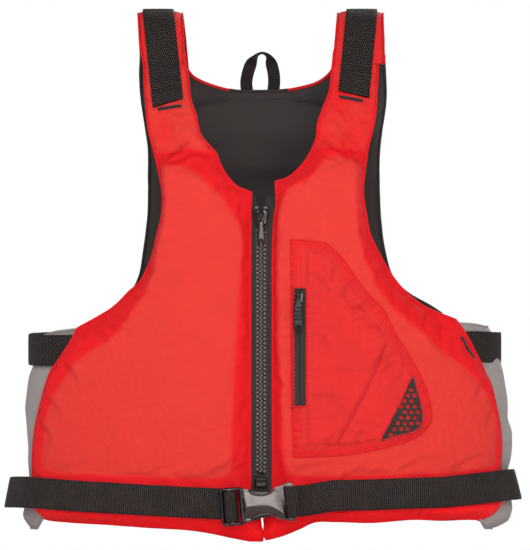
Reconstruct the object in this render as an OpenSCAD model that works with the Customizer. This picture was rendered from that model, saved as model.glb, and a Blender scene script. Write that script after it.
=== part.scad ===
// Youth paddling vest: two zipped front panels, a back panel, grey side panels,
// webbing over the shoulders, a buckled waist belt and a zipped chest pocket.
// Frame: +Z up, the front faces -Y, the wearer's left is +X,
// origin on the hem plane under the middle of the vest. Millimetres.

/* [Body] */
// Width over the two front panels at the waist
body_w = 385; // [370:1:395]
// Height from the hem to the shoulder fold
body_h = 437; // [425:1:445]
// Depth of the front, from the middle plane to its outer face
front_d = 96; // [92:1:98]
// Depth of the back, from the middle plane to its outer face
back_d = 104; // [100:1:108]
// Thickness of a filled panel
panel_t = 34; // [30:1:36]
// Thickness of the nylon cloth, with its seam allowance
cloth_t = 1.6; // [1.2:0.1:2]

/* [Webbing] */
// Width of the belt and shoulder webbing
web_w = 25; // [22:1:26]
// Thickness of the webbing
web_t = 1.6; // [1.2:0.1:1.8]
// Height of the upper side straps' lower edge
side_strap_z = 146; // [140:1:150]

/* [Main zip] */
// Distance from one tooth to the next on one side
tooth_pitch = 3.5; // [3.3:0.1:3.8]
// Height of the lowest tooth
zip_z0 = 56; // [55:1:60]
// Height of the highest tooth's top
zip_z1 = 258; // [250:1:260]
// Plane of the zip tape, behind the front faces
zip_y = -87; // [-88:0.5:-86]

/* [Pocket] */
// Lower end of the pocket zip
pocket_z0 = 111; // [108:1:114]
// Upper end of the pocket zip
pocket_z1 = 208; // [204:1:212]
// Middle of the pocket zip
pocket_x = 30.5; // [30:0.5:31]
// How far the pocket stands off the front panel
pocket_d = 5; // [4:0.5:6]

/* [Buckle] */
// Height of the buckle's middle
buckle_z = 31; // [30:1:33]
// Tilt of the buckle, its wearer's-left end up
buckle_tilt = 5; // [0:1:6]
// Thickness of the buckle
buckle_t = 10; // [9:0.5:11]

/* [Hidden] */

RED = [0.85, 0.08, 0.08];
BLACK = [0.08, 0.07, 0.07];
GREY = [0.55, 0.53, 0.52];
FOAM = [0.93, 0.92, 0.88];
BUCKLE_COLOR = [0.12, 0.12, 0.12];
TOOTH_COLOR = [0.2, 0.19, 0.2];
BOX_COLOR = [0.1, 0.1, 0.1];
SLIDER_COLOR = [0.06, 0.06, 0.06];
PULL_COLOR = [0.07, 0.07, 0.07];
COIL_COLOR = [0.15, 0.15, 0.15];
STOP_COLOR = [0.25, 0.25, 0.25];

// The tables are drawn for this size of vest; the scales fit them to the chosen one.
DRAWN_W = 385;
DRAWN_H = 437;
scale_x = body_w / DRAWN_W;
scale_z = body_h / DRAWN_H;

// Front panel edges: [height, distance from the middle]
FRONT_OUTER = [[0, 176], [12, 180], [20, 185], [30, 190], [52, 192], [75, 192.5], [94, 190.5],
  [112, 186.5], [134, 180], [148, 173], [166, 163], [175, 158], [184, 146], [191, 130],
  [202, 115.5], [215, 104.5], [232, 94.5], [250, 87.5], [266, 84], [283, 82], [301, 83.5],
  [325, 88.5], [351, 92.5], [394, 98], [437, 101]];
FRONT_INNER = [[0, 1], [26, 1], [36, 9], [286, 9], [292, 15], [302, 28.5], [315, 36], [324, 41],
  [334, 48.5], [347, 52], [367, 56.5], [383, 58.5], [401, 62], [437, 64.5]];
// Front hem: [distance from the middle, rise]
HEM = [[0, 0], [20, 4], [35, 7], [60, 10], [95, 13], [135, 14], [167, 17], [185, 20]];
// Back panel edges: [height, distance from the middle]
BACK_OUTER = [[0, 160], [20, 166], [60, 172], [120, 172], [150, 164], [172, 150], [190, 128],
  [205, 112], [220, 102.5], [236, 99.5], [257, 97], [286, 94.5], [307, 94.5], [331, 95.5],
  [354, 99], [394, 101], [437, 101]];
BACK_INNER = [[0, 0], [370, 0], [371, 22], [375, 43], [381, 54], [388, 60], [410, 63],
  [437, 64.5]];
// Side profile: [height, share of the full depth]
DEPTH_SHARE = [[0, 1], [285, 1], [300, 0.97], [315, 0.915], [340, 0.80], [365, 0.675],
  [388, 0.54], [408, 0.415], [422, 0.31], [431, 0.205], [435.5, 0.1], [437, 0]];
// Panel thickness: [height, share of panel_t]
FRONT_THICK = [[0, 0.85], [20, 1], [270, 1], [310, 0.62], [335, 0.27], [437, 0.235]];
BACK_THICK = [[0, 0.85], [30, 0.94], [320, 0.94], [352, 0.7], [370, 0.45], [390, 0.25],
  [437, 0.235]];

// ---- helpers ----
function lerp(a, b, t) = a + (b - a) * t;
function reversed(list) = [for (i = [len(list) - 1 : -1 : 0]) list[i]];
// a half outline completed by its mirror image; flip is [1, -1] or [-1, 1]
function with_mirror(half, flip) =
  concat(half, [for (p = reversed(half)) [p[0] * flip[0], p[1] * flip[1]]]);

module right_side() {
  mirror([1, 0, 0]) children();
}
module both_sides() {
  children();
  right_side() children();
}

// two triangles over four corner indices
function quad(a, b, c, d) = [[d, b, a], [d, c, b]];

// closed solid between two grids of points with the same rows and columns
module slab(first, second) {
  rows = len(first);
  cols = len(first[0]);
  last_r = rows - 1;
  last_c = cols - 1;
  function id(s, r, c) = (s * rows + r) * cols + c;
  faces = concat(
    [for (r = [0 : last_r - 1]) for (c = [0 : last_c - 1]) each concat(
      quad(id(0, r, c), id(0, r, c + 1), id(0, r + 1, c + 1), id(0, r + 1, c)),
      quad(id(1, r, c), id(1, r + 1, c), id(1, r + 1, c + 1), id(1, r, c + 1)))],
    [for (r = [0 : last_r - 1]) each concat(
      quad(id(0, r, 0), id(0, r + 1, 0), id(1, r + 1, 0), id(1, r, 0)),
      quad(id(0, r, last_c), id(1, r, last_c), id(1, r + 1, last_c), id(0, r + 1, last_c)))],
    [for (c = [0 : last_c - 1]) each concat(
      quad(id(0, 0, c), id(1, 0, c), id(1, 0, c + 1), id(0, 0, c + 1)),
      quad(id(0, last_r, c), id(0, last_r, c + 1), id(1, last_r, c + 1), id(1, last_r, c)))]);
  polyhedron([for (grid = [first, second]) for (row = grid) each row], faces, convexity = 8);
}

// a 2D path thickened to its left, or to its right where t is negative
function path_normal(path, i) =
  let (d = path[min(len(path) - 1, i + 1)] - path[max(0, i - 1)])
  [-d[1], d[0]] / norm(d);
module strip(path, t) {
  polygon(concat(path,
    [for (i = [len(path) - 1 : -1 : 0]) path[i] + path_normal(path, i) * t]));
}

// ---- outer surfaces of the vest; depth is -front_d or back_d ----
PLAN_W = 208.5; // half width of the plan oval
PLAN_POWER = 2.4; // squareness of the plan oval
function oval(x, w) =
  pow(max(0.015, 1 - pow(min(1, abs(x) / w), PLAN_POWER)), 1 / PLAN_POWER);
function skin_y(depth, x, z) =
  depth * lookup(z / scale_z, DEPTH_SHARE) * oval(x / scale_x, PLAN_W);
// a point of the surface moved inward along its normal by inset
function skin_pt(depth, x, z, inset) = let (
    step = 0.6,
    dx = (skin_y(depth, x + step, z) - skin_y(depth, x - step, z)) / (2 * step),
    dz = (skin_y(depth, x, z + step) - skin_y(depth, x, z - step)) / (2 * step),
    move = -sign(depth) * inset / norm([dx, 1, dz]))
  [x - dx * move, skin_y(depth, x, z) + move, z - dz * move];
function front_y(x, z) = skin_y(-front_d, x, z);
function back_y(x, z) = skin_y(back_d, x, z);
function front_pt(x, z, inset) = skin_pt(-front_d, x, z, inset);
function back_pt(x, z, inset) = skin_pt(back_d, x, z, inset);

// ---- layers of a panel, front and back alike ----
// measured inward from the panel's inner face
SHELL_END = -1.6;
CAVITY_END = 3;
FOAM_END = -3.4;
LINING_START = -1.1;
LINING_END = 0.4;
FOAM_START = cloth_t + 1.4; // measured from the outer face
LINING_MARGIN = 0.5; // lining edge inside the shell edge

// ---- front panels ----
FRONT_COLS = 6;
FRONT_ROWS = [0, 14, 34, 46, 75, 112, 148, 166, 184, 202, 232, 266, 286, 302, 324, 347, 383,
  408, 422, 431];
FRONT_MID_ROWS = [34, 52, 75, 112, 148, 166, 184, 202, 232, 266, 286];
FRONT_CAVITY_ROWS = concat([12], FRONT_MID_ROWS, [302]);
FRONT_FOAM_ROWS = concat([15], FRONT_MID_ROWS, [300.9]);
FRONT_CAVITY_MARGIN = 8;
FRONT_FOAM_MARGIN = 9.5;
HEM_REACH = 60; // height at which the hem's rise has faded out

function above_hem(x, z) =
  z + max(0, 1 - z / (HEM_REACH * scale_z)) * (lookup(abs(x) / scale_x, HEM) * scale_z);
function front_row(z, margin, inset) = let (
    x_in = lookup(z, FRONT_INNER) * scale_x + margin,
    x_out = lookup(z, FRONT_OUTER) * scale_x - margin)
  [for (i = [0 : FRONT_COLS]) let (x = lerp(x_in, x_out, i / FRONT_COLS))
    front_pt(x, above_hem(x, z * scale_z), inset)];
// grids measured from the outer face and from the inner face
function front_outer(rows, margin, inset) = [for (z = rows) front_row(z, margin, inset)];
function front_inner(rows, margin, inset) =
  [for (z = rows) front_row(z, margin, panel_t * lookup(z, FRONT_THICK) + inset)];

module front_shell() {
  color(RED) difference() {
    slab(front_outer(FRONT_ROWS, 0, 0), front_inner(FRONT_ROWS, 0, SHELL_END));
    slab(front_outer(FRONT_CAVITY_ROWS, FRONT_CAVITY_MARGIN, cloth_t),
      front_inner(FRONT_CAVITY_ROWS, FRONT_CAVITY_MARGIN, CAVITY_END));
  }
}
module front_foam() {
  color(FOAM) slab(front_outer(FRONT_FOAM_ROWS, FRONT_FOAM_MARGIN, FOAM_START),
    front_inner(FRONT_FOAM_ROWS, FRONT_FOAM_MARGIN, FOAM_END));
}
module front_lining() {
  color(BLACK) slab(front_inner(FRONT_ROWS, LINING_MARGIN, LINING_START),
    front_inner(FRONT_ROWS, LINING_MARGIN, LINING_END));
}

// ---- back panel, each half from the middle plane outward ----
BACK_COLS = 5;
BACK_ROWS = [18, 40, 80, 120, 150, 172, 190, 205, 236, 286, 331, 352, 369.9, 371, 375, 381,
  388, 400, 410, 422, 431];
BACK_MID_ROWS = [80, 120, 150, 172, 190, 205, 236, 286, 331];
BACK_CAVITY_ROWS = concat([30], BACK_MID_ROWS, [352]);
BACK_FOAM_ROWS = concat([33], BACK_MID_ROWS, [349]);
BACK_CAVITY_MARGIN = 9;
BACK_FOAM_MARGIN = 10.5;

function back_row(z, margin, inset) = let (
    x_in = lookup(z, BACK_INNER) * scale_x,
    x_out = lookup(z, BACK_OUTER) * scale_x - margin)
  [for (i = [0 : BACK_COLS]) back_pt(lerp(x_in, x_out, i / BACK_COLS), z * scale_z, inset)];
function back_outer(rows, margin, inset) = [for (z = rows) back_row(z, margin, inset)];
function back_inner(rows, margin, inset) =
  [for (z = rows) back_row(z, margin, panel_t * lookup(z, BACK_THICK) + inset)];

module back_shell() {
  color(RED) difference() {
    both_sides() slab(back_inner(BACK_ROWS, 0, SHELL_END), back_outer(BACK_ROWS, 0, 0));
    both_sides() slab(back_inner(BACK_CAVITY_ROWS, BACK_CAVITY_MARGIN, CAVITY_END),
      back_outer(BACK_CAVITY_ROWS, BACK_CAVITY_MARGIN, cloth_t));
  }
}
module back_foam() {
  color(FOAM) both_sides() slab(back_inner(BACK_FOAM_ROWS, BACK_FOAM_MARGIN, FOAM_END),
    back_outer(BACK_FOAM_ROWS, BACK_FOAM_MARGIN, FOAM_START));
}
module back_lining() {
  color(BLACK) both_sides() slab(back_inner(BACK_ROWS, LINING_MARGIN, LINING_END),
    back_inner(BACK_ROWS, LINING_MARGIN, LINING_START));
}

// ---- side panel, a bowed sheet of cloth between the front and the back ----
// [height, distance from the middle] of the bow's crest and of the front edge
SIDE_CREST = [[10, 194], [50, 192], [90, 195], [118, 192], [135, 187], [150, 180], [172, 165]];
SIDE_EDGE = [[10, 187], [50, 193], [90, 193], [118, 186], [135, 180], [150, 173], [172, 161]];
SIDE_FRONT_Y = -22; // the sheet stops short of the front panel, so the front can fold open
SIDE_BACK_SHARE = 0.94; // where it ends on the way to the back
SIDE_T = 2;

module side_panel() {
  function pt(z, k, shift) = let (
      crest_x = (lookup(z, SIDE_CREST) + 3) * scale_x,
      edge_x = lookup(z, SIDE_EDGE) * scale_x,
      y0 = front_y(edge_x - 5, z) + 8,
      y1 = back_y(edge_x - 22, z) - 9,
      t = lerp((SIDE_FRONT_Y - y0) / (y1 - y0), SIDE_BACK_SHARE, k),
      bow = 2 * t - 1,
      end_x = t < 0.5 ? edge_x : edge_x - 18 * scale_x)
    [lerp(crest_x, end_x, bow * bow) + shift, lerp(y0, y1, t), z * scale_z];
  function sheet(shift) =
    [for (row = SIDE_EDGE) [for (k = [0 : 0.125 : 1]) pt(row[0], k, shift)]];
  color(GREY) slab(sheet(0), sheet(-SIDE_T));
}

// ---- shoulders: the yoke is the fold itself, rounded so the front strap can turn round it ----
YOKE_Y = [-18.5, -14, -9, -4.5, 0, 4.5, 9, 14, 18.5];
function fold_z(y) = (DRAWN_H - 6 * pow(abs(y) / 19.7, 2)) * scale_z;
module shoulder_yoke() {
  color(RED) intersection() {
    translate([66 * scale_x, 0, 0]) rotate([90, 0, 90]) linear_extrude(36 * scale_x)
      polygon(concat([for (y = YOKE_Y) [y, fold_z(y) - 0.3]],
        [for (y = reversed(YOKE_Y)) [y * 0.72, fold_z(y) - 8]]));
    translate([84 * scale_x, 0, 420 * scale_z]) cylinder(r1 = 11.5, r2 = 17.2, h = 18, $fn = 64);
  }
}

// shoulder webbing lies on the strap, from its sewn front end over the fold to the back
WEB_Z = [346, 365, 388, 408, 422, 431];
WEB_LIFT = 0.8; // gap between the surface and the webbing
function web_row(depth, z, inset) = let (
    x = lerp(74, 83, (z - WEB_Z[0]) / (DRAWN_H - WEB_Z[0])) * scale_x)
  [for (s = [-1, 1]) skin_pt(depth, x + s * web_w / 2, z * scale_z, inset)];
module shoulder_webbing_front() {
  function sheet(inset) = [for (z = WEB_Z) web_row(-front_d, z, inset)];
  color(BLACK) slab(sheet(-WEB_LIFT - web_t), sheet(-WEB_LIFT));
}
module shoulder_webbing_back() {
  function sheet(inset) = concat(
    [for (z = [435.5, DRAWN_H]) web_row(-front_d, z, inset)],
    [for (z = [435.5, 431, 422, 408, 388, 365]) web_row(back_d, z, inset)]);
  color(BLACK) slab(sheet(-WEB_LIFT - web_t), sheet(-WEB_LIFT));
}

// ---- grab loop: an arch of narrow webbing over the back neck ----
LOOP_Y = 66;
LOOP_T = 1.6;
LOOP_FOOT_Z = 372.6;
// [x, height] of the outer edge
LOOP_OUTER = [[-24, LOOP_FOOT_Z], [-22, 384], [-17, 395], [-8, 402], [0, 404], [8, 402],
  [15, 394], [19, 384], [22, LOOP_FOOT_Z]];
module grab_loop() {
  color(BLACK) translate([0, LOOP_Y + LOOP_T / 2, 0]) rotate([90, 0, 0]) linear_extrude(LOOP_T)
    difference() {
      polygon([for (p = LOOP_OUTER) [p[0] * scale_x, p[1] * scale_z]]);
      polygon([for (p = LOOP_OUTER)
        [p[0] * scale_x * 0.52, 371.4 * scale_z + (p[1] - LOOP_FOOT_Z) * scale_z * 0.86]]);
    }
}

// ---- belt ----
// [x, height] of the belt's middle line across the front
BELT_LINE = [[-212, 41], [-188, 39.5], [-34, 31.5], [0, 31], [30, 36], [95, 38.5],
  [203, 45.5], [212, 46]];
BELT_LIFT = 1.6; // belt's inner face off the panels
BELT_OVAL_W = PLAN_W + 1;
BELT_BACK_Z = 33;
BELT_IN = 22; // front belt's ends, from the middle
BELT_OUT = 197;
BELT_STEPS = 12;

// front belt between two x stations, x0 below x1
module belt_front(x0, x1) {
  function sheet(lift) = [for (i = [0 : BELT_STEPS])
    let (x = lerp(x0, x1, i / BELT_STEPS) * scale_x,
      y = -(front_d + BELT_LIFT + lift) * oval(x / scale_x, BELT_OVAL_W),
      z = lookup(x / scale_x, BELT_LINE) * scale_z)
    [for (s = [-1, 1]) [x, y, z + s * web_w / 2]]];
  color(BLACK) slab(sheet(0), sheet(web_t));
}
module belt_front_left() {
  belt_front(BELT_IN, BELT_OUT);
  belt_loop();
}
// belt round the sides and the back, level; its ends past the sides are drawn in a little
module belt_back() {
  function on_oval(share) = sign(share) * pow(abs(share), 2 / PLAN_POWER);
  path = [for (a = [-7.2 : 6.48 : 187.3])
    [BELT_OVAL_W * scale_x * on_oval(cos(a)),
      (back_d + BELT_LIFT) * on_oval(sin(a)) * (a < 0 || a > 180 ? 0.98 : 1)]];
  color(BLACK) translate([0, 0, BELT_BACK_Z * scale_z]) linear_extrude(web_w)
    strip(reversed(path), web_t);
}
module belt_keeper() {
  x = 70 * scale_x;
  color(BLACK) translate([x, back_y(x, 45) + 0.8, BELT_BACK_Z * scale_z - 6])
    rotate([0, 0, -6.6]) difference() {
      translate([-10, 0, 0]) cube([20, 6.5, web_w + 12]);
      translate([-11, -1, 4]) cube([22, 6, web_w + 4]);
    }
}

// ---- upper side straps: from the back panel round the side, and a short end on the front ----
STRAP_Z = side_strap_z * scale_z;
STRAP_INSET = -0.9; // strap's near face, just off the panel
// [x, y] of the part that hangs free round the side
STRAP_FREE = [[191, -18], [192, 0], [190, 20], [185.5, 38], [178.5, 56], [170, 73]];
module side_strap() {
  path = concat(STRAP_FREE, [for (x = [158, 146, 134, 122])
    let (p = back_pt(x, STRAP_Z, STRAP_INSET)) [p[0], p[1]]]);
  color(BLACK) translate([0, 0, STRAP_Z]) linear_extrude(web_w)
    strip([for (p = reversed(path)) [p[0] * scale_x, p[1]]], web_t);
}
module side_strap_end() {
  path = concat([for (x = [148, 156, 164, 171, 177])
    let (p = front_pt(x * scale_x, STRAP_Z, STRAP_INSET)) [p[0], p[1]]], [[184 * scale_x, -51]]);
  color(BLACK) translate([0, 0, STRAP_Z]) linear_extrude(web_w) strip(path, -web_t);
}
// three-bar slider on the side strap's back end
module side_adjuster() {
  p = back_pt(140 * scale_x, STRAP_Z, -3.4);
  color(BUCKLE_COLOR) translate([p[0], p[1] + 1.7, STRAP_Z + web_w / 2])
    rotate([0, 0, -21.8]) rotate([90, 0, 0])
    translate([0, 0, -3]) linear_extrude(3) difference() {
      square([20, web_w + 7], center = true);
      for (s = [-1, 1]) translate([s * 4.6, 0]) square([4.4, web_w + 1.4], center = true);
    }
}

// ---- main zip, in the plane y = zip_y ----
TOOTH_T = 4.4;
// one tooth: [x, share of the pitch], neck on the tape's edge and a wider head
TOOTH = [[4.2, -0.30], [4.2, 0.30], [1.6, 0.19], [0.4, 0.17], [-0.2, 0.24], [-1.3, 0.22],
  [-1.8, 0], [-1.3, -0.22], [-0.2, -0.24], [0.4, -0.17], [1.6, -0.19]];
module zip_tape() {
  color(BLACK) translate([1.9, zip_y - 0.5, 50]) cube([6.9, 1, 226 * scale_z]);
}
module tooth() {
  translate([0, TOOTH_T / 2, 0]) rotate([90, 0, 0]) linear_extrude(TOOTH_T)
    polygon([for (p = TOOTH) [p[0], p[1] * tooth_pitch]]);
}
// shift is in pitches, so that one side's teeth meet the other side's gaps
module zip_teeth(shift) {
  count = floor((zip_z1 - zip_z0) / tooth_pitch);
  color(TOOTH_COLOR) for (i = [0 : count - 1])
    translate([0, zip_y, zip_z0 + (i + 0.5 + shift) * tooth_pitch]) tooth();
}
module zip_pin() {
  color(BLACK) translate([-3.7, zip_y - 1.2, 46.6]) cube([2.4, 2.4, 8]);
}
module zip_box() {
  color(BOX_COLOR) translate([-5.2, zip_y - 2.6, 44]) difference() {
    cube([10.4, 5.2, 9]);
    // socket for the pin, and its side slot
    translate([1.2, 1.2, 2.2]) cube([2.8, 2.8, 10]);
    translate([-1, 2, 2.2]) cube([3, 1.2, 10]);
  }
}
module zip_stop() {
  color(TOOTH_COLOR) translate([2.2, zip_y - 1.8, 272.4]) cube([3, 3.6, 3]);
}

// bridge on a slider's face: two legs and a bar from height z up over h
module pull_bridge(w, leg_y, leg_d, leg_h, bar_y, bar_d, z, h) {
  for (leg_z = [z, z + h - leg_h]) translate([-w / 2, leg_y, leg_z]) cube([w, leg_d, leg_h]);
  translate([-w / 2, bar_y, z]) cube([w, bar_d, h]);
}
// flat pull hung on a bridge: top bar at the origin, slot for the bridge, tab with a cord hole
module pull_tab(length, w, t, bar, slot_w, slot_l, hole_r) {
  hole_z = -length + w / 2;
  translate([0, t / 2, 0]) rotate([90, 0, 0]) linear_extrude(t) difference() {
    union() {
      translate([-w / 2, hole_z]) square([w, length - w / 2 + bar / 2]);
      translate([0, hole_z]) circle(d = w, $fn = 64);
    }
    translate([-slot_w / 2, -slot_l]) square([slot_w, slot_l - bar / 2]);
    translate([0, hole_z]) circle(r = hole_r, $fn = 64);
  }
}

SLIDER_Z = 260.5 * scale_z;
BRIDGE_Z = 3.2;
BRIDGE_H = 7.5;
// slider: two plates joined by the wedge between the two rows of teeth
module zip_slider() {
  color(SLIDER_COLOR) translate([0, zip_y, SLIDER_Z]) {
    for (s = [-1, 1]) translate([0, s * 3.5 + 0.7, 0]) rotate([90, 0, 0]) linear_extrude(1.4)
      polygon(with_mirror([[4.2, 0], [6.4, 5], [6.6, 9.5], [4.6, 12]], [-1, 1]));
    translate([0, 3, 0]) rotate([90, 0, 0]) linear_extrude(6)
      polygon([[0, 5.4], [1.5, 8.4], [1.2, 11.6], [-1.2, 11.6], [-1.5, 8.4]]);
    // flanges along the plates' side edges
    for (s = [-1, 1]) for (y = [-2.9, 0.9])
      translate([s * 5.95 - 0.35, y, 4.8]) cube([0.7, 2, 5]);
    pull_bridge(w = 2.2, leg_y = -7.4, leg_d = 3.4, leg_h = 1.5, bar_y = -8.2, bar_d = 1.3,
      z = BRIDGE_Z, h = BRIDGE_H);
  }
}
module zip_pull() {
  color(PULL_COLOR) translate([0, zip_y - 5.55, SLIDER_Z + BRIDGE_Z + BRIDGE_H / 2])
    pull_tab(length = 25, w = 6.6, t = 1.2, bar = 1.5, slot_w = 3.4, slot_l = 5.3, hole_r = 1.6);
}

// ---- pocket on the wearer's left front ----
POCKET_COLS = 6;
// [x, height] of the edge by the front opening and of the outer edge, row by row
POCKET_IN = [[24, 70], [24, 105], [24, 140], [24, 175], [24, 210], [24, 248]];
POCKET_OUT = [[130, 90], [140, 106], [131, 141], [111, 171], [89, 203], [44, 248]];
POCKET_HOLLOW = 0.16; // hollow's margin, as a share of the width
POCKET_SLOT_W = 12.6;
POCKET_ZIP_Y = -front_d - pocket_d + 1; // front face of the zip tapes

// grid standing lift off the front panel, drawn in by the share margin
function pocket_grid(lift, margin) = [for (row = [0 : 5])
  let (rise = row == 0 ? margin * 60 : row == 5 ? -margin * 60 : 0)
  [for (i = [0 : POCKET_COLS])
    let (p = lerp(POCKET_IN[row], POCKET_OUT[row], lerp(margin, 1 - margin, i / POCKET_COLS)))
    front_pt(p[0] * scale_x, (p[1] + rise) * scale_z, -lift)]];
module pocket_panel() {
  color(RED) difference() {
    slab(pocket_grid(pocket_d, 0), pocket_grid(0.8, 0));
    translate([pocket_x - POCKET_SLOT_W / 2, -140, pocket_z0 * scale_z])
      cube([POCKET_SLOT_W, 80, (pocket_z1 - pocket_z0) * scale_z]);
    slab(pocket_grid(pocket_d - 1.4, POCKET_HOLLOW), pocket_grid(2, POCKET_HOLLOW));
  }
}

// drain mesh in the pocket's lower outer corner
MESH_AT = [124, 104];
MESH_PITCH = [4.2, 3.7];
MESH_OUTLINE = [[0, 32], [-26, -19.5], [-10, -16], [4, -12], [8, -9], [9.5, 0], [7, 14], [3, 26]];
// keeps the holes clear of the outline
function in_mesh(x, y) = x > -26 + (y + 19.5) * 0.505 + 3.2
  && x < 9.5 - pow(max(0, y) / 32, 1.6) * 9.5 - 2.6
  && y > -16 + (x + 10) * 0.3 + 1.4 && y < 27;
module pocket_mesh() {
  x0 = MESH_AT[0] * scale_x;
  color(BLACK)
    translate([x0, front_y(x0, MESH_AT[1]) - pocket_d - 1.7, MESH_AT[1] * scale_z])
    rotate([0, 0, 17]) rotate([90, 0, 0]) linear_extrude(0.9) difference() {
      polygon(MESH_OUTLINE);
      for (row = [-6 : 7]) for (col = [-7 : 3]) {
        x = col * MESH_PITCH[0] + (row % 2 == 0 ? 0 : MESH_PITCH[0] / 2);
        y = row * MESH_PITCH[1];
        if (in_mesh(x, y)) translate([x, y]) circle(r = 1.45, $fn = 6);
      }
    }
}

module pocket_zip_tapes() {
  color(BLACK) for (x = [-6, 0.9])
    translate([pocket_x + x, POCKET_ZIP_Y, (pocket_z0 + 0.4) * scale_z])
      cube([5.1, 0.9, (pocket_z1 - pocket_z0 - 0.8) * scale_z]);
}
COIL_PITCH = 1.6;
module pocket_zip_coils() {
  count = floor((pocket_z1 - pocket_z0 - 6) / COIL_PITCH);
  // [x, rise] of each side's turns
  color(COIL_COLOR) for (i = [0 : count - 1]) for (turn = [[-1.9, COIL_PITCH / 2], [-0.7, 0]])
    translate([pocket_x + turn[0], POCKET_ZIP_Y - 1.2,
      (pocket_z0 + 3) * scale_z + i * COIL_PITCH + turn[1]]) cube([2.6, 1.1, 0.62]);
}
module pocket_zip_stops() {
  y = POCKET_ZIP_Y - 1.3;
  color(STOP_COLOR) {
    translate([pocket_x - 2.2, y, (pocket_z0 + 0.6) * scale_z]) cube([4.4, 1.2, 1.6]);
    for (s = [-1, 1]) translate([pocket_x + s * 2.6 - 0.9, y, (pocket_z1 - 1.8) * scale_z])
      cube([1.8, 1.2, 1.4]);
  }
}

POCKET_SLIDER_Z = 195.5 * scale_z;
POCKET_BRIDGE_Z = 2;
POCKET_BRIDGE_H = 5.8;
module pocket_slider() {
  color(SLIDER_COLOR) translate([pocket_x, POCKET_ZIP_Y, POCKET_SLIDER_Z]) {
    translate([0, -1.45, 0]) rotate([90, 0, 0]) linear_extrude(1.1)
      polygon(with_mirror([[3, 0], [4.3, 4], [4.3, 7.5], [3, 9.6]], [-1, 1]));
    pull_bridge(w = 1.8, leg_y = -5.2, leg_d = 3, leg_h = 1.2, bar_y = -5.9, bar_d = 1,
      z = POCKET_BRIDGE_Z, h = POCKET_BRIDGE_H);
  }
}
module pocket_pull() {
  z = POCKET_SLIDER_Z + POCKET_BRIDGE_Z + POCKET_BRIDGE_H / 2;
  color(PULL_COLOR) translate([pocket_x, POCKET_ZIP_Y - 3.72, z])
    pull_tab(length = 29, w = 7.4, t = 1.3, bar = 1.2, slot_w = 2.8, slot_l = 4.6, hole_r = 1.75);
}

// ---- side-release buckle: local x along the belt, y up, z from the belt outwards ----
BUCKLE_Y = -front_d - 3.9;
// lower halves of the two outlines
FEMALE_HALF = [[-14, -13.6], [-5, -13.2], [0, -11.2], [4, -9.9], [8, -10.2], [12, -13],
  [15.5, -15.6], [24, -15.9], [26, -14.5]];
MALE_HALF = [[-33, -14], [-31.5, -15.8], [-16, -15.8], [-14.4, -14]];
// upper arm
ARM = [[-13.9, 7], [-5, 7.4], [5.5, 6.4], [7.6, 8.6], [6.2, 12.2], [3, 12.9], [-2.5, 12.4],
  [-3.4, 10.6], [-6, 10.2], [-13.9, 10.4]];
module at_buckle() {
  translate([0, BUCKLE_Y, buckle_z * scale_z]) rotate([0, -buckle_tilt, 0]) rotate([90, 0, 0])
    children();
}
module buckle_female() {
  wall = 2.2;
  color(BUCKLE_COLOR) at_buckle() difference() {
    linear_extrude(buckle_t) polygon(with_mirror(FEMALE_HALF, [1, -1]));
    // socket for the arms and the tongue
    translate([-15, -11.2, wall]) cube([25, 22.4, buckle_t - 2 * wall]);
    // windows where the arms can be pressed
    for (y = [-18, 8]) translate([-4, y, wall]) cube([12, 10, buckle_t - 2 * wall]);
    // slot for the belt
    translate([17, -13, -1]) cube([3.4, 26, buckle_t + 2]);
    translate([20, -13, buckle_t - 4.5]) cube([7, 26, 10]);
  }
}
module buckle_male() {
  color(BUCKLE_COLOR) at_buckle() union() {
    translate([0, 0, 1]) linear_extrude(6) difference() {
      polygon(with_mirror(MALE_HALF, [1, -1]));
      translate([-31, -13.2]) square([4, 26.4]);
      translate([-22.6, -13.2]) square([4.4, 26.4]);
    }
    // tongue
    translate([-16, -3, 3.6]) cube([22, 6, 2.8]);
  }
}
// s is 1 for the upper arm, -1 for the lower
module buckle_arm(s) {
  color(BUCKLE_COLOR) at_buckle() translate([0, 0, 3]) linear_extrude(4)
    polygon([for (p = ARM) [p[0], s * p[1]]]);
}
// a flat run of webbing across the belt's width
module web_box(x, z, length, w, h) {
  translate([x, -w / 2, z]) cube([length, w, h]);
}
// webbing folded round the male half's middle bar
module belt_tail() {
  color(BLACK) at_buckle() {
    web_box(x = -30.6, z = 7.4, length = 11.8, w = web_w, h = web_t);
    for (x = [-30.6, -20.4]) web_box(x = x, z = -0.3, length = 1.6, w = web_w, h = 8);
  }
}
// wearer's-left webbing folded round the female half's end bar
module belt_loop() {
  w = web_w - 0.4;
  color(BLACK) at_buckle() {
    web_box(x = 18, z = 6.3, length = 10.6, w = w, h = web_t);
    web_box(x = 18, z = -0.4, length = 1.4, w = w, h = 8.3);
    web_box(x = 27, z = -1.5, length = 1.6, w = w, h = 9.4);
  }
}

// ---- bar tacks: short blocks of thread on the shoulder and at the side strap ----
module bar_tacks() {
  color(BLACK) {
    translate(front_pt(73 * scale_x, 340 * scale_z, -1.4))
      rotate([-16, 0, 0]) rotate([0, -8, 0]) cube([18, 0.9, 2.2], center = true);
    translate(front_pt(158 * scale_x, 158 * scale_z, -3.4))
      rotate([0, 0, 28]) rotate([0, -28, 0]) cube([1.6, 0.9, 17], center = true);
  }
}

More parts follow.
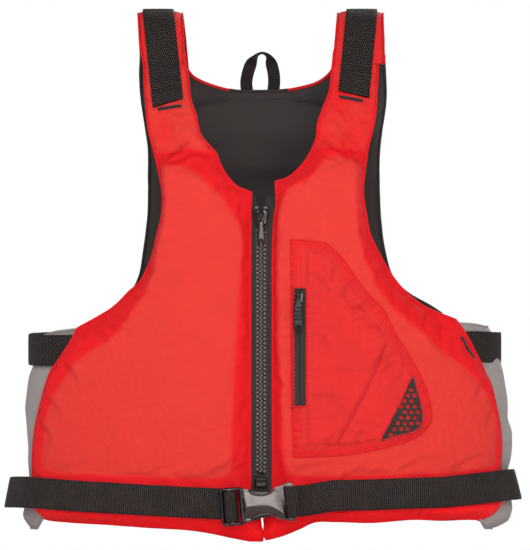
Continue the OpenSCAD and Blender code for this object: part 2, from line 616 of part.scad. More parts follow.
back_shell();
back_foam();
back_lining();
right_side() side_panel();  // side_panel_right
side_panel();  // side_panel_left
right_side() shoulder_yoke();  // shoulder_yoke_right
shoulder_yoke();  // shoulder_yoke_left
right_side() shoulder_webbing_back();  // shoulder_webbing_back_right
shoulder_webbing_back();  // shoulder_webbing_back_left
belt_back();
right_side() belt_keeper();  // belt_keeper_right
belt_keeper();  // belt_keeper_left
right_side() side_strap();  // side_strap_right
side_strap();  // side_strap_left
right_side() side_adjuster();  // side_adjuster_right
side_adjuster();  // side_adjuster_left
grab_loop();
right_side() front_shell();  // front_shell_right
right_side() front_foam();  // front_foam_right
right_side() front_lining();  // front_lining_right
right_side() zip_tape();  // zip_tape_right
right_side() zip_teeth(0);  // zip_teeth_right
zip_pin();
right_side() zip_stop();  // zip_top_stop_right
belt_front(-BELT_OUT, -BELT_IN);  // belt_front_right
right_side() bar_tacks();  // bar_tacks_right
right_side() shoulder_webbing_front();  // shoulder_webbing_front_right
right_side() side_strap_end();  // side_strap_end_right
buckle_male();
belt_tail();
buckle_arm(1);  // buckle_arm_upper
buckle_arm(-1);  // buckle_arm_lower
front_shell();  // front_shell_left
front_foam();  // front_foam_left
front_lining();  // front_lining_left
zip_tape();  // zip_tape_left
zip_teeth(0.5);  // zip_teeth_left
zip_box();
zip_stop();  // zip_top_stop_left
belt_front_left();
bar_tacks();  // bar_tacks_left
shoulder_webbing_front();  // shoulder_webbing_front_left
side_strap_end();  // side_strap_end_left
buckle_female();
pocket_panel();
pocket_mesh();
pocket_zip_tapes();
pocket_zip_coils();
pocket_zip_stops();
zip_slider();
zip_pull();
pocket_slider();
pocket_pull();
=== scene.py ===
"""A red flotation vest with a front zip, a pocket, webbing, buckles and a grab loop.

It stands upright: z is up, the front faces -y and "right" is the wearer's right, at -x.
Sizes are in millimetres and become metres when a mesh is made. Cloth is laid out on one
smooth body surface. A place on it is x and s, the arc length up the front, over the
shoulder and down the back; t is x measured along the girth. Depth goes inward from it.
"""
import math
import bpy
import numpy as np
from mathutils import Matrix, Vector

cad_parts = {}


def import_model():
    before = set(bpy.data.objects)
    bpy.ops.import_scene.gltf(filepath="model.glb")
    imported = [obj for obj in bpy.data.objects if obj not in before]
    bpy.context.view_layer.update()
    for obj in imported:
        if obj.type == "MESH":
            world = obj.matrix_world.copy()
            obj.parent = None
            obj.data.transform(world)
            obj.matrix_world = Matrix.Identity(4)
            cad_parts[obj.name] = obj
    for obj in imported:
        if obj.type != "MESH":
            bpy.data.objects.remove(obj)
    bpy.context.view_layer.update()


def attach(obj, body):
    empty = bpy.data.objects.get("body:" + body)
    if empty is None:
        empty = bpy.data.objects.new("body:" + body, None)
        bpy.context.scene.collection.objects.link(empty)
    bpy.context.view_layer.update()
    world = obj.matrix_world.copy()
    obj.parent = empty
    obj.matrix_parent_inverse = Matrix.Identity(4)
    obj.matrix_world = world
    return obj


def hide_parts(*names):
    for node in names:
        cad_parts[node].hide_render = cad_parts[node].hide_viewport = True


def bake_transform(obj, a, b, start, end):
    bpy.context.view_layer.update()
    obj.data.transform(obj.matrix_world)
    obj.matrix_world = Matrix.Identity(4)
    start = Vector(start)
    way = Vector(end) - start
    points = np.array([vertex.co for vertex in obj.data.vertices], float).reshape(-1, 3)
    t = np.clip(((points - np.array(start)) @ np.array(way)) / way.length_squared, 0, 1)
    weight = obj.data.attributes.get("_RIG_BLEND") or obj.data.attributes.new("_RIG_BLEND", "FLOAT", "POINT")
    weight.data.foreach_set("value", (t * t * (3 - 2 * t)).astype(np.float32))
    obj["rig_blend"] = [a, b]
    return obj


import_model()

from types import SimpleNamespace

import bpy
import numpy as np
from mathutils import Vector
from mathutils.geometry import delaunay_2d_cdt
from mathutils.kdtree import KDTree

SCENE = bpy.context.scene
MM = 0.001
SIDES = {"right": -1, "left": 1}    # sign of x
rng = np.random.default_rng(7)


# ------------------------------------------------------------------ tables and curves
def points(text):
    """pairs of numbers written as text"""
    return np.array(text.split(), float).reshape(-1, 2)


def crease_table(text):
    """lines of: width, depth, ridge height, then the x z points of one crease"""
    rows = [np.array(line.split(), float) for line in text.strip().splitlines()]
    return [(row[3:].reshape(-1, 2), *row[:3]) for row in rows]


def lookup(z, table, column=1):
    table = np.asarray(table, float)
    return np.interp(z, table[:, 0], table[:, column])


def catmull(pts, n, closed=False):
    """centripetal Catmull-Rom curve with n steps per span; two points stay as they are"""
    p = np.array(pts, float)
    count = len(p)
    if count < 3:
        return p
    out = []
    for i in range(count if closed else count - 1):
        p1, p2 = p[i % count], p[(i + 1) % count]
        p0 = p[(i - 1) % count] if closed or i > 0 else 2 * p1 - p2
        p3 = p[(i + 2) % count] if closed or i + 2 < count else 2 * p2 - p1
        mid, before, after = [max(1e-6, np.linalg.norm(b - a)) ** 0.5
                              for a, b in ((p1, p2), (p0, p1), (p2, p3))]
        m1 = (p1 - p0) / before - (p2 - p0) / (before + mid) + (p2 - p1) / mid
        m2 = (p2 - p1) / mid - (p3 - p1) / (mid + after) + (p3 - p2) / after
        m1, m2 = m1 * mid, m2 * mid
        for k in range(n):
            t = k / n
            out.append((2 * t**3 - 3 * t**2 + 1) * p1 + (t**3 - 2 * t**2 + t) * m1
                       + (-2 * t**3 + 3 * t**2) * p2 + (t**3 - t**2) * m2)
    if not closed:
        out.append(p[-1])
    return np.array(out)


def arclen(p):
    return np.concatenate([[0], np.cumsum(np.linalg.norm(np.diff(p, axis=0), axis=1))])


def resample(p, step=None, n=None):
    """even points along a polyline, by spacing or by count"""
    p = np.asarray(p, float)
    length = arclen(p)
    n = n or max(2, int(round(length[-1] / step)) + 1)
    t = np.linspace(0, length[-1], n)
    return np.stack([np.interp(t, length, p[:, k]) for k in range(p.shape[1])], 1)


def close(pts):
    """the polyline with its first point repeated at the end"""
    pts = np.asarray(pts, float)
    return np.concatenate([pts, pts[:1]])


def smooth_ring(pts, n, step):
    """closed curve, evenly spaced except across its last gap"""
    return resample(catmull(pts, n, closed=True), step)


def even_ring(pts, step=0.8):
    """closed curve, evenly spaced all round"""
    return resample(close(catmull(pts, 8, closed=True)), step)[:-1]


def rect_path(x0, x1, z0, z1, step):
    corners = [(x0, z0), (x1, z0), (x1, z1), (x0, z1), (x0, z0)]
    return resample(corners, step)


def rounded_rect(u0, u1, v0, v1, r=2.0, n=6):
    corners = ((u1 - r, v0 + r, -90), (u1 - r, v1 - r, 0),
               (u0 + r, v1 - r, 90), (u0 + r, v0 + r, 180))
    out = []
    for cu, cv, start in corners:
        for k in range(n + 1):
            a = math.radians(start + 90 * k / n)
            out.append((cu + r * math.cos(a), cv + r * math.sin(a)))
    return np.array(out)


def ease(a, b, x):
    """smooth step from 0 at a to 1 at b"""
    t = np.clip((x - a) / (b - a), 0, 1)
    return t * t * (3 - 2 * t)


def bell(x, width):
    return np.exp(-(x / width) ** 2)


def noise(u, v, seed=0, octaves=3):
    """smooth seeded value noise in -1..1"""
    u, v = np.asarray(u, float), np.asarray(v, float)
    out, amp, total = 0.0, 1.0, 0.0
    for o in range(octaves):
        g = np.random.default_rng(seed * 131 + o).uniform(-1, 1, (64, 64))
        a, b = u * 2**o + 7.3 * o, v * 2**o + 3.1 * o
        i, j = np.floor(a).astype(int), np.floor(b).astype(int)
        fa, fb = a - i, b - j
        fa = fa * fa * fa * (fa * (6 * fa - 15) + 10)
        fb = fb * fb * fb * (fb * (6 * fb - 15) + 10)
        i0, i1, j0, j1 = i % 64, (i + 1) % 64, j % 64, (j + 1) % 64
        out = out + amp * ((g[i0, j0] * (1 - fa) + g[i1, j0] * fa) * (1 - fb)
                           + (g[i0, j1] * (1 - fa) + g[i1, j1] * fa) * fb)
        total += amp
        amp *= 0.5
    return out / total


# ------------------------------------------------------------------ body surface
FRONT_DEPTH, BACK_DEPTH, HALF_WIDTH = 96.0, 104.0, 208.5
OVAL_POWER = 2.4
# z, share of the full front or back depth
ARCH = points("""-30 1  0 1  60 1  120 1  180 1  240 1  272 1  285 0.995  300 0.972
    315 0.915  340 0.80  365 0.675  388 0.54  408 0.415  422 0.31  431 0.205
    435.5 0.1  437 0""")
TOP_Z = 437

_side_view = ([(-FRONT_DEPTH * a, z) for z, a in ARCH]
              + [(BACK_DEPTH * a, z) for z, a in ARCH[-2::-1]])
PROFILE = resample(catmull(_side_view, 24), 0.5)
APEX = int(np.argmax(PROFILE[:, 1]))
_length = arclen(PROFILE)
ARC = _length - np.interp(0, PROFILE[:APEX, 1], _length[:APEX])
APEX_S = ARC[APEX]


def arc_front(z):
    return np.interp(z, PROFILE[:APEX + 1, 1], ARC[:APEX + 1])


def arc_back(z):
    return np.interp(z, PROFILE[APEX:, 1][::-1], ARC[APEX:][::-1])


def profile(s):
    """y and z of the middle line at arc length s"""
    return np.interp(s, ARC, PROFILE[:, 0]), np.interp(s, ARC, PROFILE[:, 1])


def oval(x):
    """share of the depth left at x"""
    side = np.minimum(1, np.abs(x) / HALF_WIDTH) ** OVAL_POWER
    return np.maximum(0.015, 1 - side) ** (1 / OVAL_POWER)


GIRTH_X = np.linspace(0, HALF_WIDTH, 2086)
GIRTH_T = np.concatenate([[0], np.cumsum(np.hypot(
    np.diff(GIRTH_X), FRONT_DEPTH * np.diff(oval(GIRTH_X))))])


def t_of_x(x):
    return np.sign(x) * np.interp(np.abs(x), GIRTH_X, GIRTH_T)


def x_of_t(t):
    return np.sign(t) * np.interp(np.abs(t), GIRTH_T, GIRTH_X)


def body_point(x, s):
    y, z = profile(s)
    return np.stack(np.broadcast_arrays(x, y * oval(x), z), -1)


def surf(x, s, depth=0.0):
    """point on the body surface, moved inward along its normal by depth"""
    x, s = np.asarray(x, float), np.asarray(s, float)
    e = 1.2
    du = body_point(x + e, s) - body_point(x - e, s)
    dv = body_point(x, s + e) - body_point(x, s - e)
    n = np.cross(du, dv)
    n /= np.linalg.norm(n, axis=-1, keepdims=True) + 1e-12
    return body_point(x, s) - n * np.asarray(depth, float)[..., None]


def outward(x, s, depth=0.0):
    """outward normal"""
    return surf(x, s, depth - 1.0) - surf(x, s, depth)


def solve(X, Z, depth, back=False):
    """x, s whose point at this depth has the front-view place X, Z"""
    X, Z = np.asarray(X, float), np.asarray(Z, float)
    depth = np.broadcast_to(np.asarray(depth, float), X.shape)
    x = X.copy()
    s = arc_back(Z) if back else arc_front(Z)
    for _ in range(14):
        p = surf(x, s, depth)
        x = np.clip(x + 0.8 * (X - p[..., 0]), -207, 207)
        dz = Z - p[..., 2]
        slope = np.maximum(0.35, np.abs((profile(s + 1)[1] - profile(s - 1)[1]) / 2))
        s = s + (-1 if back else 1) * 0.7 * dz / slope
    return x, s


def to_cloth(pts, depth, back=False):
    """t, s of front-view x, z points"""
    x, s = solve(pts[:, 0], pts[:, 1], depth, back)
    return np.stack([t_of_x(x), s], 1)


def depth_of(verts, x, s):
    on_surface = surf(x, s, 0.0)
    n = on_surface - surf(x, s, 1.0)
    return ((on_surface - verts) * n).sum(1)


# ------------------------------------------------------------------ flat geometry
def seg_dist(pts, line, closed=True):
    """distance to a polyline, with the index and fraction of the nearest segment"""
    A, B = (line, np.roll(line, -1, 0)) if closed else (line[:-1], line[1:])
    best = np.full(len(pts), 1e9)
    index = np.zeros(len(pts), int)
    fraction = np.zeros(len(pts))
    d = B - A
    dd = (d * d).sum(1) + 1e-12
    for k in range(0, len(pts), 2000):
        p = pts[k:k + 2000]
        t = np.clip(((p[:, None] - A[None]) * d[None]).sum(2) / dd, 0, 1)
        q = A[None] + t[..., None] * d[None]
        r = np.linalg.norm(p[:, None] - q, axis=2)
        j = r.argmin(1)
        rows = np.arange(len(p))
        best[k:k + 2000], index[k:k + 2000], fraction[k:k + 2000] = r[rows, j], j, t[rows, j]
    return best, index, fraction


def distance(pts, line, closed=True):
    return seg_dist(pts, line, closed)[0]


def along_loop(pts, loop):
    """distance to a closed loop, nearest index and fraction, and arc length there"""
    d, i, f = seg_dist(pts, loop)
    length = arclen(close(loop))
    return d, i, f, length[i] + f * (length[i + 1] - length[i])


def inside(pts, loop):
    x, y = pts[:, 0], pts[:, 1]
    out = np.zeros(len(pts), bool)
    for (x1, y1), (x2, y2) in zip(loop, np.roll(loop, -1, 0)):
        crosses = (y1 > y) != (y2 > y)
        if abs(y2 - y1) > 1e-12:
            out ^= crosses & (x < (x2 - x1) * (y - y1) / (y2 - y1) + x1)
    return out


def inward_normals(loop):
    t = np.roll(loop, -1, 0) - np.roll(loop, 1, 0)
    t /= np.linalg.norm(t, axis=1, keepdims=True)
    area = 0.5 * np.sum(loop[:, 0] * np.roll(loop[:, 1], -1)
                        - np.roll(loop[:, 0], -1) * loop[:, 1])
    return np.stack([-t[:, 1], t[:, 0]], 1) * (1 if area > 0 else -1)


def fill(outline, h, holes=(), extra=()):
    """even triangles of size h in an outline, round holes and with edges along extra lines"""
    ring = np.asarray(outline, float)
    low, high = ring.min(0), ring.max(0)
    rows = []
    for k, y in enumerate(np.arange(low[1] + h * 0.4, high[1], h * 0.866)):
        xs = np.arange(low[0] + (h / 2 if k % 2 else 0), high[0], h)
        rows.append(np.stack([xs, np.full(len(xs), y)], 1))
    pts = np.concatenate(rows)
    pts = pts + (rng.uniform(-1, 1, pts.shape) * h * 0.08)
    pts = pts[inside(pts, ring)]
    pts = pts[distance(pts, ring) > h * 0.62]
    for hole in holes:
        pts = pts[~inside(pts, hole)]
        pts = pts[distance(pts, hole) > h * 0.55]
    for line in extra:
        pts = pts[distance(pts, line, False) > h * 0.5]
    verts, edges = [], []
    for loop in [ring, *holes]:
        n0 = len(verts)
        verts += [Vector(q) for q in loop]
        edges += [(n0 + i, n0 + (i + 1) % len(loop)) for i in range(len(loop))]
    for line in extra:
        n0 = len(verts)
        verts += [Vector(q) for q in line]
        edges += [(n0 + i, n0 + i + 1) for i in range(len(line) - 1)]
    verts += [Vector(q) for q in pts]
    out, _, tris, *_ = delaunay_2d_cdt(verts, edges, [], 0, 1e-5)
    out = np.array([tuple(q) for q in out])
    tris = np.array([f for f in tris if len(f) == 3], int)
    middle = out[tris].mean(1)
    keep = inside(middle, ring)
    for hole in holes:
        keep &= ~inside(middle, hole)
    tris = tris[keep]
    a = out[tris]
    area = ((a[:, 1, 0] - a[:, 0, 0]) * (a[:, 2, 1] - a[:, 0, 1])
            - (a[:, 2, 0] - a[:, 0, 0]) * (a[:, 1, 1] - a[:, 0, 1]))
    tris[area < 0] = tris[area < 0][:, ::-1]
    tris = tris[np.abs(area) > 1e-4]
    used, tris = renumber(tris, len(out))
    return out[used], tris


def renumber(tris, count):
    """indices in use, and the triangles numbered by them"""
    used = np.unique(tris)
    new = np.full(count, -1)
    new[used] = np.arange(len(used))
    return used, new[tris]


def kd_tree(pts):
    tree = KDTree(len(pts))
    for i, (a, b) in enumerate(pts):
        tree.insert((a, b, 0), i)
    tree.balance()
    return tree


def interpolator(pts, values, count, soft):
    """function of t, s giving the inverse-distance mean of the nearest values"""
    tree = kd_tree(pts)

    def at(ts, ss):
        out = np.empty(len(ts))
        for k, (a, b) in enumerate(zip(ts, ss)):
            near = tree.find_n((a, b, 0), count)
            w = np.array([1 / (q[2] + soft) ** 2 for q in near])
            out[k] = (w * values[[q[1] for q in near]]).sum() / w.sum()
        return out
    return at


# ------------------------------------------------------------------ face lists
def ring_faces(rings, sides, closed=False, start=0):
    """quads between successive rings of vertices"""
    faces = []
    for i in range(rings if closed else rings - 1):
        a, b = start + i * sides, start + (i + 1) % rings * sides
        for k in range(sides):
            m = (k + 1) % sides
            faces.append((a + k, a + m, b + m, b + k))
    return faces


def slab_faces(n, m, flip):
    """closed slab of two n by m vertex grids, the second behind the first"""
    q = n * m
    faces = []
    for i in range(n - 1):
        for j in range(m - 1):
            a, d = i * m + j, (i + 1) * m + j
            faces += [(a, a + 1, d + 1, d), (q + d, q + d + 1, q + a + 1, q + a)]
    for i in range(n - 1):
        a, b = i * m, (i + 1) * m
        faces.append((a, b, q + b, q + a))
        a, b = a + m - 1, b + m - 1
        faces.append((b, a, q + a, q + b))
    for j in range(m - 1):
        a = (n - 1) * m + j
        faces += [(j + 1, j, q + j, q + j + 1), (a, a + 1, q + a + 1, q + a)]
    return [f[::-1] for f in faces] if flip else faces


def sheet_pair_faces(tris, n, collect=set):
    """two equal sheets of n vertices closed by a wall; collect sets the wall's face order"""
    tris = [tuple(t) for t in tris.tolist()]
    edges = collect(e for a, b, c in tris for e in ((a, b), (b, c), (c, a)))
    back = [tuple(q + n for q in t[::-1]) for t in tris]
    return tris + back + [(b, a, a + n, b + n) for a, b in edges if (b, a) not in edges]


# ------------------------------------------------------------------ mesh objects
def new_obj(name, verts, faces, mat):
    mesh = bpy.data.meshes.new(name)
    mesh.from_pydata([tuple(v) for v in (np.asarray(verts, float) * MM)], [],
                     [tuple(int(i) for i in f) for f in faces])
    mesh.validate()
    mesh.update()
    obj = bpy.data.objects.new(name, mesh)
    SCENE.collection.objects.link(obj)
    mesh.materials.append(mat)
    mesh.polygons.foreach_set("use_smooth", np.ones(len(mesh.polygons), bool))
    return obj


def vertex_coords(mesh):
    a = np.empty(len(mesh.vertices) * 3)
    mesh.vertices.foreach_get("co", a)
    return a.reshape(-1, 3)


def set_attr(obj, name, values):
    """a number per vertex; one value fills all"""
    values = np.broadcast_to(np.asarray(values, np.float32), len(obj.data.vertices))
    attribute = obj.data.attributes.new(name, "FLOAT", "POINT")
    attribute.data.foreach_set("value", values.copy())


def set_uv(obj, u, v):
    """per-vertex u, v in mm"""
    mesh = obj.data
    layer = mesh.uv_layers.new(name="UVMap")
    vi = np.empty(len(mesh.loops), int)
    mesh.loops.foreach_get("vertex_index", vi)
    uv = np.stack([np.asarray(u)[vi], np.asarray(v)[vi]], 1)
    layer.data.foreach_set("uv", uv.astype(np.float32).ravel())


def subdivide(obj):
    m = obj.modifiers.new("sub", "SUBSURF")
    m.levels = m.render_levels = 1
    m.boundary_smooth = "PRESERVE_CORNERS"


def bake_subdivision(obj):
    subdivide(obj)
    graph = bpy.context.evaluated_depsgraph_get()
    graph.update()
    mesh = bpy.data.meshes.new_from_object(obj.evaluated_get(graph),
                                           preserve_all_data_layers=True, depsgraph=graph)
    old = obj.data
    obj.modifiers.clear()
    obj.data = mesh
    bpy.data.meshes.remove(old)
    mesh.name = obj.name


def settle(obj, pin, shrink, pressure, bend, cap):
    """let a sheet settle as cloth, pinned by weight, moving no vertex more than cap"""
    frames = 16
    group = obj.vertex_groups.new(name="pin")
    weights = np.round(np.clip(pin, 0, 1), 2)
    for value in np.unique(weights):
        if value > 0:
            members = [int(i) for i in np.nonzero(weights == value)[0]]
            group.add(members, float(value), "REPLACE")
    start = vertex_coords(obj.data)
    m = obj.modifiers.new("settle", "CLOTH")
    s = m.settings
    s.quality = 5
    s.mass = 0.12
    s.tension_stiffness = s.compression_stiffness = 14.0
    s.shear_stiffness = 7.0
    s.bending_stiffness = bend
    s.tension_damping = s.compression_damping = s.shear_damping = 3.0
    s.bending_damping = 0.5
    s.air_damping = 2.0
    s.vertex_group_mass = "pin"
    s.pin_stiffness = 1.0
    s.shrink_min = shrink
    s.use_pressure = True
    s.uniform_pressure_force = pressure
    s.effector_weights.gravity = 0.0
    m.collision_settings.use_collision = False
    m.collision_settings.use_self_collision = False
    m.point_cache.frame_start = 1
    m.point_cache.frame_end = frames
    SCENE.frame_start, SCENE.frame_end = 1, frames
    for f in range(1, frames + 1):
        SCENE.frame_set(f)
    evaluated = obj.evaluated_get(bpy.context.evaluated_depsgraph_get())
    settled = vertex_coords(evaluated.to_mesh())
    evaluated.to_mesh_clear()
    obj.modifiers.clear()
    obj.vertex_groups.clear()
    move = settled - start
    r = np.linalg.norm(move, axis=1, keepdims=True)
    move *= np.minimum(1, cap * MM / np.maximum(r, 1e-9))
    move[~np.isfinite(move).all(1)] = 0
    obj.data.vertices.foreach_set("co", (start + move).ravel())
    obj.data.update()
    SCENE.frame_set(1)


def tube(path, r, mat, closed=False, seg=8, aspect=1.0, up=None, name="part"):
    """swept round section; r may vary along the path, aspect widens it across up"""
    p = np.asarray(path, float)
    n = len(p)
    t = np.roll(p, -1, 0) - np.roll(p, 1, 0) if closed else np.gradient(p, axis=0)
    t /= np.linalg.norm(t, axis=1, keepdims=True) + 1e-12
    if up is None:
        u = np.zeros_like(p)
        a = np.array([0, 0, 1.0]) if abs(t[0, 2]) < 0.9 else np.array([1.0, 0, 0])
        for i in range(n):
            a = a - t[i] * (a @ t[i])
            a /= np.linalg.norm(a) + 1e-12
            u[i] = a
    else:
        u = np.asarray(up, float) * np.ones((n, 1))
        u = u - t * (u * t).sum(1, keepdims=True)
        u /= np.linalg.norm(u, axis=1, keepdims=True) + 1e-12
    w = np.cross(t, u)
    r = np.broadcast_to(np.asarray(r, float), (n,))
    angle = np.arange(seg) / seg * 2 * np.pi
    section = (np.cos(angle)[None, :, None] * w[:, None] * aspect
               + np.sin(angle)[None, :, None] * u[:, None])
    verts = list((p[:, None] + r[:, None, None] * section).reshape(-1, 3))
    faces = ring_faces(n, seg, closed)
    if not closed:
        for i, way in ((0, -1), (n - 1, 1)):
            tip = len(verts)
            verts.append(p[i] + (t[i] * r[i] * 0.5 * way))
            for k in range(seg):
                a, b = i * seg + k, i * seg + (k + 1) % seg
                faces.append((b, a, tip) if i == 0 else (a, b, tip))
    obj = new_obj(name, verts, faces, mat)
    tips = np.zeros(len(verts) - n * seg)
    set_uv(obj, np.concatenate([np.repeat(arclen(p), seg), tips]),
           np.concatenate([np.tile(angle * 3, n), tips]))
    return obj


def ribbon(name, path, across, width, thick, mat, m=9, skew=0.0):
    """flat webbing along its mid-thickness path; skew slants its start"""
    p = np.asarray(path, float)
    n = len(p)
    t = np.gradient(p, axis=0)
    t /= np.linalg.norm(t, axis=1, keepdims=True) + 1e-12
    a = np.asarray(across, float) * np.ones((n, 3))
    a = a - t * (a * t).sum(1, keepdims=True)
    a /= np.linalg.norm(a, axis=1, keepdims=True) + 1e-12
    normal = np.cross(t, a)
    us = np.linspace(-1, 1, m)
    thinner = 0.35      # loss of thickness at the edges
    section = np.array([(u, 1 - thinner * abs(u) ** 6) for u in us] + [(1.012, 0.0)]
                       + [(u, -(1 - thinner * abs(u) ** 6)) for u in us[::-1]]
                       + [(-1.012, 0.0)])
    k = len(section)
    side, rise = section[None, :, 0] * (width / 2), section[None, :, 1] * (thick / 2)
    verts = p[:, None] + a[:, None] * side[..., None] + normal[:, None] * rise[..., None]
    length = arclen(p)
    if skew:
        slant = side * skew * np.clip(1 - length / 26.0, 0, 1)[:, None]
        verts = verts + t[:, None] * slant[..., None]
    faces = [(q, w, v, u) for q, u, v, w in ring_faces(n, k)]
    faces.append(tuple(range(k)))
    faces.append(tuple((n - 1) * k + j for j in range(k - 1, -1, -1)))
    obj = new_obj(name, verts.reshape(-1, 3), faces, mat)
    set_uv(obj, np.tile(side[0], n), np.repeat(length, k))
    return obj


def join(name, parts):
    """one object from several, with their materials, UVs and attributes"""
    names = sorted({a.name for o in parts for a in o.data.attributes
                    if a.domain == "POINT" and a.data_type == "FLOAT"
                    and not a.name.startswith(".")})
    values = {k: [] for k in names}
    mats, verts, faces, slots, uvs = [], [], [], [], []
    offset = 0
    for part in parts:
        mesh = part.data
        c = vertex_coords(mesh)
        verts.append(c)
        for m in mesh.materials:
            if m not in mats:
                mats.append(m)
        own = [mats.index(m) for m in mesh.materials]
        for p in mesh.polygons:
            faces.append(tuple(v + offset for v in p.vertices))
            slots.append(own[p.material_index])
        uv = np.zeros(len(mesh.loops) * 2, np.float32)
        layer = mesh.uv_layers.get("UVMap")
        if layer:
            layer.data.foreach_get("uv", uv)
        uvs.append(uv)
        for k in names:
            q = np.zeros(len(mesh.vertices), np.float32)
            if mesh.attributes.get(k):
                mesh.attributes[k].data.foreach_get("value", q)
            values[k].append(q)
        offset += len(c)
        bpy.data.objects.remove(part)
        bpy.data.meshes.remove(mesh)
    mesh = bpy.data.meshes.new(name)
    mesh.from_pydata([tuple(v) for v in np.concatenate(verts)], [], faces)
    for m in mats:
        mesh.materials.append(m)
    mesh.polygons.foreach_set("material_index", np.array(slots, np.int32))
    mesh.polygons.foreach_set("use_smooth", np.ones(len(faces), bool))
    mesh.uv_layers.new(name="UVMap").data.foreach_set("uv", np.concatenate(uvs))
    for k in names:
        a = mesh.attributes.new(k, "FLOAT", "POINT")
        a.data.foreach_set("value", np.concatenate(values[k]))
    mesh.update()
    obj = bpy.data.objects.new(name, mesh)
    SCENE.collection.objects.link(obj)
    return obj


def stitches(path, normal, mat, r=0.24, sink=0.05, name="part"):
    """row of thread stitches along a path lying on cloth"""
    length, gap, seg = 2.3, 0.9, 5
    p = np.asarray(path, float)
    normals = np.asarray(normal, float) * np.ones(p.shape)
    total = arclen(p)

    def at(rows, t):
        return np.array([np.interp(t, total, rows[:, c]) for c in range(3)])

    heights = (-r * 1.3, r * 0.35, r * 0.75, r * 0.35, -r * 1.3)
    verts, faces = [], []
    k = 0.0
    while k + length <= total[-1]:
        first = len(verts)
        for q, t in enumerate(np.linspace(k, k + length, 5)):
            n = at(normals, t)
            n /= np.linalg.norm(n) + 1e-9
            tangent = at(p, min(t + 0.2, total[-1])) - at(p, max(t - 0.2, 0))
            tangent /= np.linalg.norm(tangent) + 1e-9
            w = np.cross(tangent, n)
            centre = at(p, t) + n * (heights[q] - sink)
            for j in range(seg):
                angle = 2 * math.pi * j / seg
                verts.append(centre + r * (math.cos(angle) * w + math.sin(angle) * n)
                             * (0.75 if q in (0, 4) else 1.0))
        faces += ring_faces(5, seg, start=first)
        faces.append(tuple(first + j for j in range(seg - 1, -1, -1)))
        faces.append(tuple(first + 4 * seg + j for j in range(seg)))
        k += length + gap
    obj = new_obj(name, verts, faces, mat)
    set_uv(obj, np.arange(len(verts)) * 0.3, np.arange(len(verts)) * 0.1)
    return obj


def bar_tack(centre, across, normal, length, width):
    """dense zigzag of thread across webbing"""
    a = across / np.linalg.norm(across)
    n = normal / np.linalg.norm(normal)
    b = np.cross(n, a)
    count = int(length / 0.62)
    path = []
    for i in range(count + 1):
        u = -length / 2 + length * i / count
        path.append(centre + a * u + b * (width / 2 if i % 2 else -width / 2)
                    + n * (0.12 + 0.05 * ((i * 7) % 3)))
    return tube(path, 0.30, MAT["thread"], seg=5)


def strap_tack(path, i, across):
    """bar tack on the rear face of a strap, at path point i"""
    t = path[i + 1] - path[i - 1]
    t /= np.linalg.norm(t)
    n = np.cross(across, t)
    n = n if n[1] > 0 else -n
    return bar_tack(path[i] + n * 0.95, across, n, 22.0, 2.6)


X_AXIS = np.array([1.0, 0, 0])


def facing(x, y, z):
    """frame seen from the front: origin, then u to +x, v up, w to the viewer at -y"""
    return np.array([x, y, z]), X_AXIS, np.array([0, 0, 1.0]), np.array([0, -1.0, 0])


def solid(outline, front, back, mat, h, r, rb=None, holes=(), frame=facing(0, 0, 0),
          name="part"):
    """moulded solid from a flat u, v outline. front and back are levels in w, or functions
    of u, v and rim distance; r and rb round the front and back rims"""
    rb = r if rb is None else rb
    loops = [resample(close(p), h * 0.7)[:-1] for p in (outline, *holes)]
    pts, tris = fill(loops[0], h, holes=loops[1:])
    u, v = pts.T
    d = np.min([distance(pts, p) for p in loops], 0)

    def level(f):
        return f(u, v, d) if callable(f) else f

    def rim(radius):
        return radius - np.sqrt(np.maximum(0, radius * radius
                                           - np.maximum(0, radius - d) ** 2))

    flat = np.concatenate([np.stack([u, v, level(front) - rim(r)], 1),
                           np.stack([u, v, level(back) + rim(rb)], 1)])
    origin, eu, ev, ew = frame
    verts = origin + flat[:, :1] * eu + flat[:, 1:2] * ev + flat[:, 2:3] * ew
    obj = new_obj(name, verts, sheet_pair_faces(tris, len(pts), dict.fromkeys), mat)
    set_uv(obj, flat[:, 0], flat[:, 1])
    return obj


def sharpen(obj, degrees):
    """keep edges sharper than the angle sharp"""
    obj.data.set_sharp_from_angle(angle=math.radians(degrees))
    return obj


def ride(obj, body, slot, *nodes):
    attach(obj, body)
    if nodes:
        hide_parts(*nodes)


def blend_round(obj, side, ends, slot, *nodes):
    """a piece that bends from the back body to a front body, between two points in metres"""
    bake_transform(obj, "back", "front_" + side, start=ends[0], end=ends[1])
    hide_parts(*nodes)


# ------------------------------------------------------------------ materials
def srgb(r, g, b):
    def linear(c):
        return c / 12.92 if c <= 0.04045 else ((c + 0.055) / 1.055) ** 2.4
    return tuple(linear(v / 255.0) for v in (r, g, b)) + (1.0,)


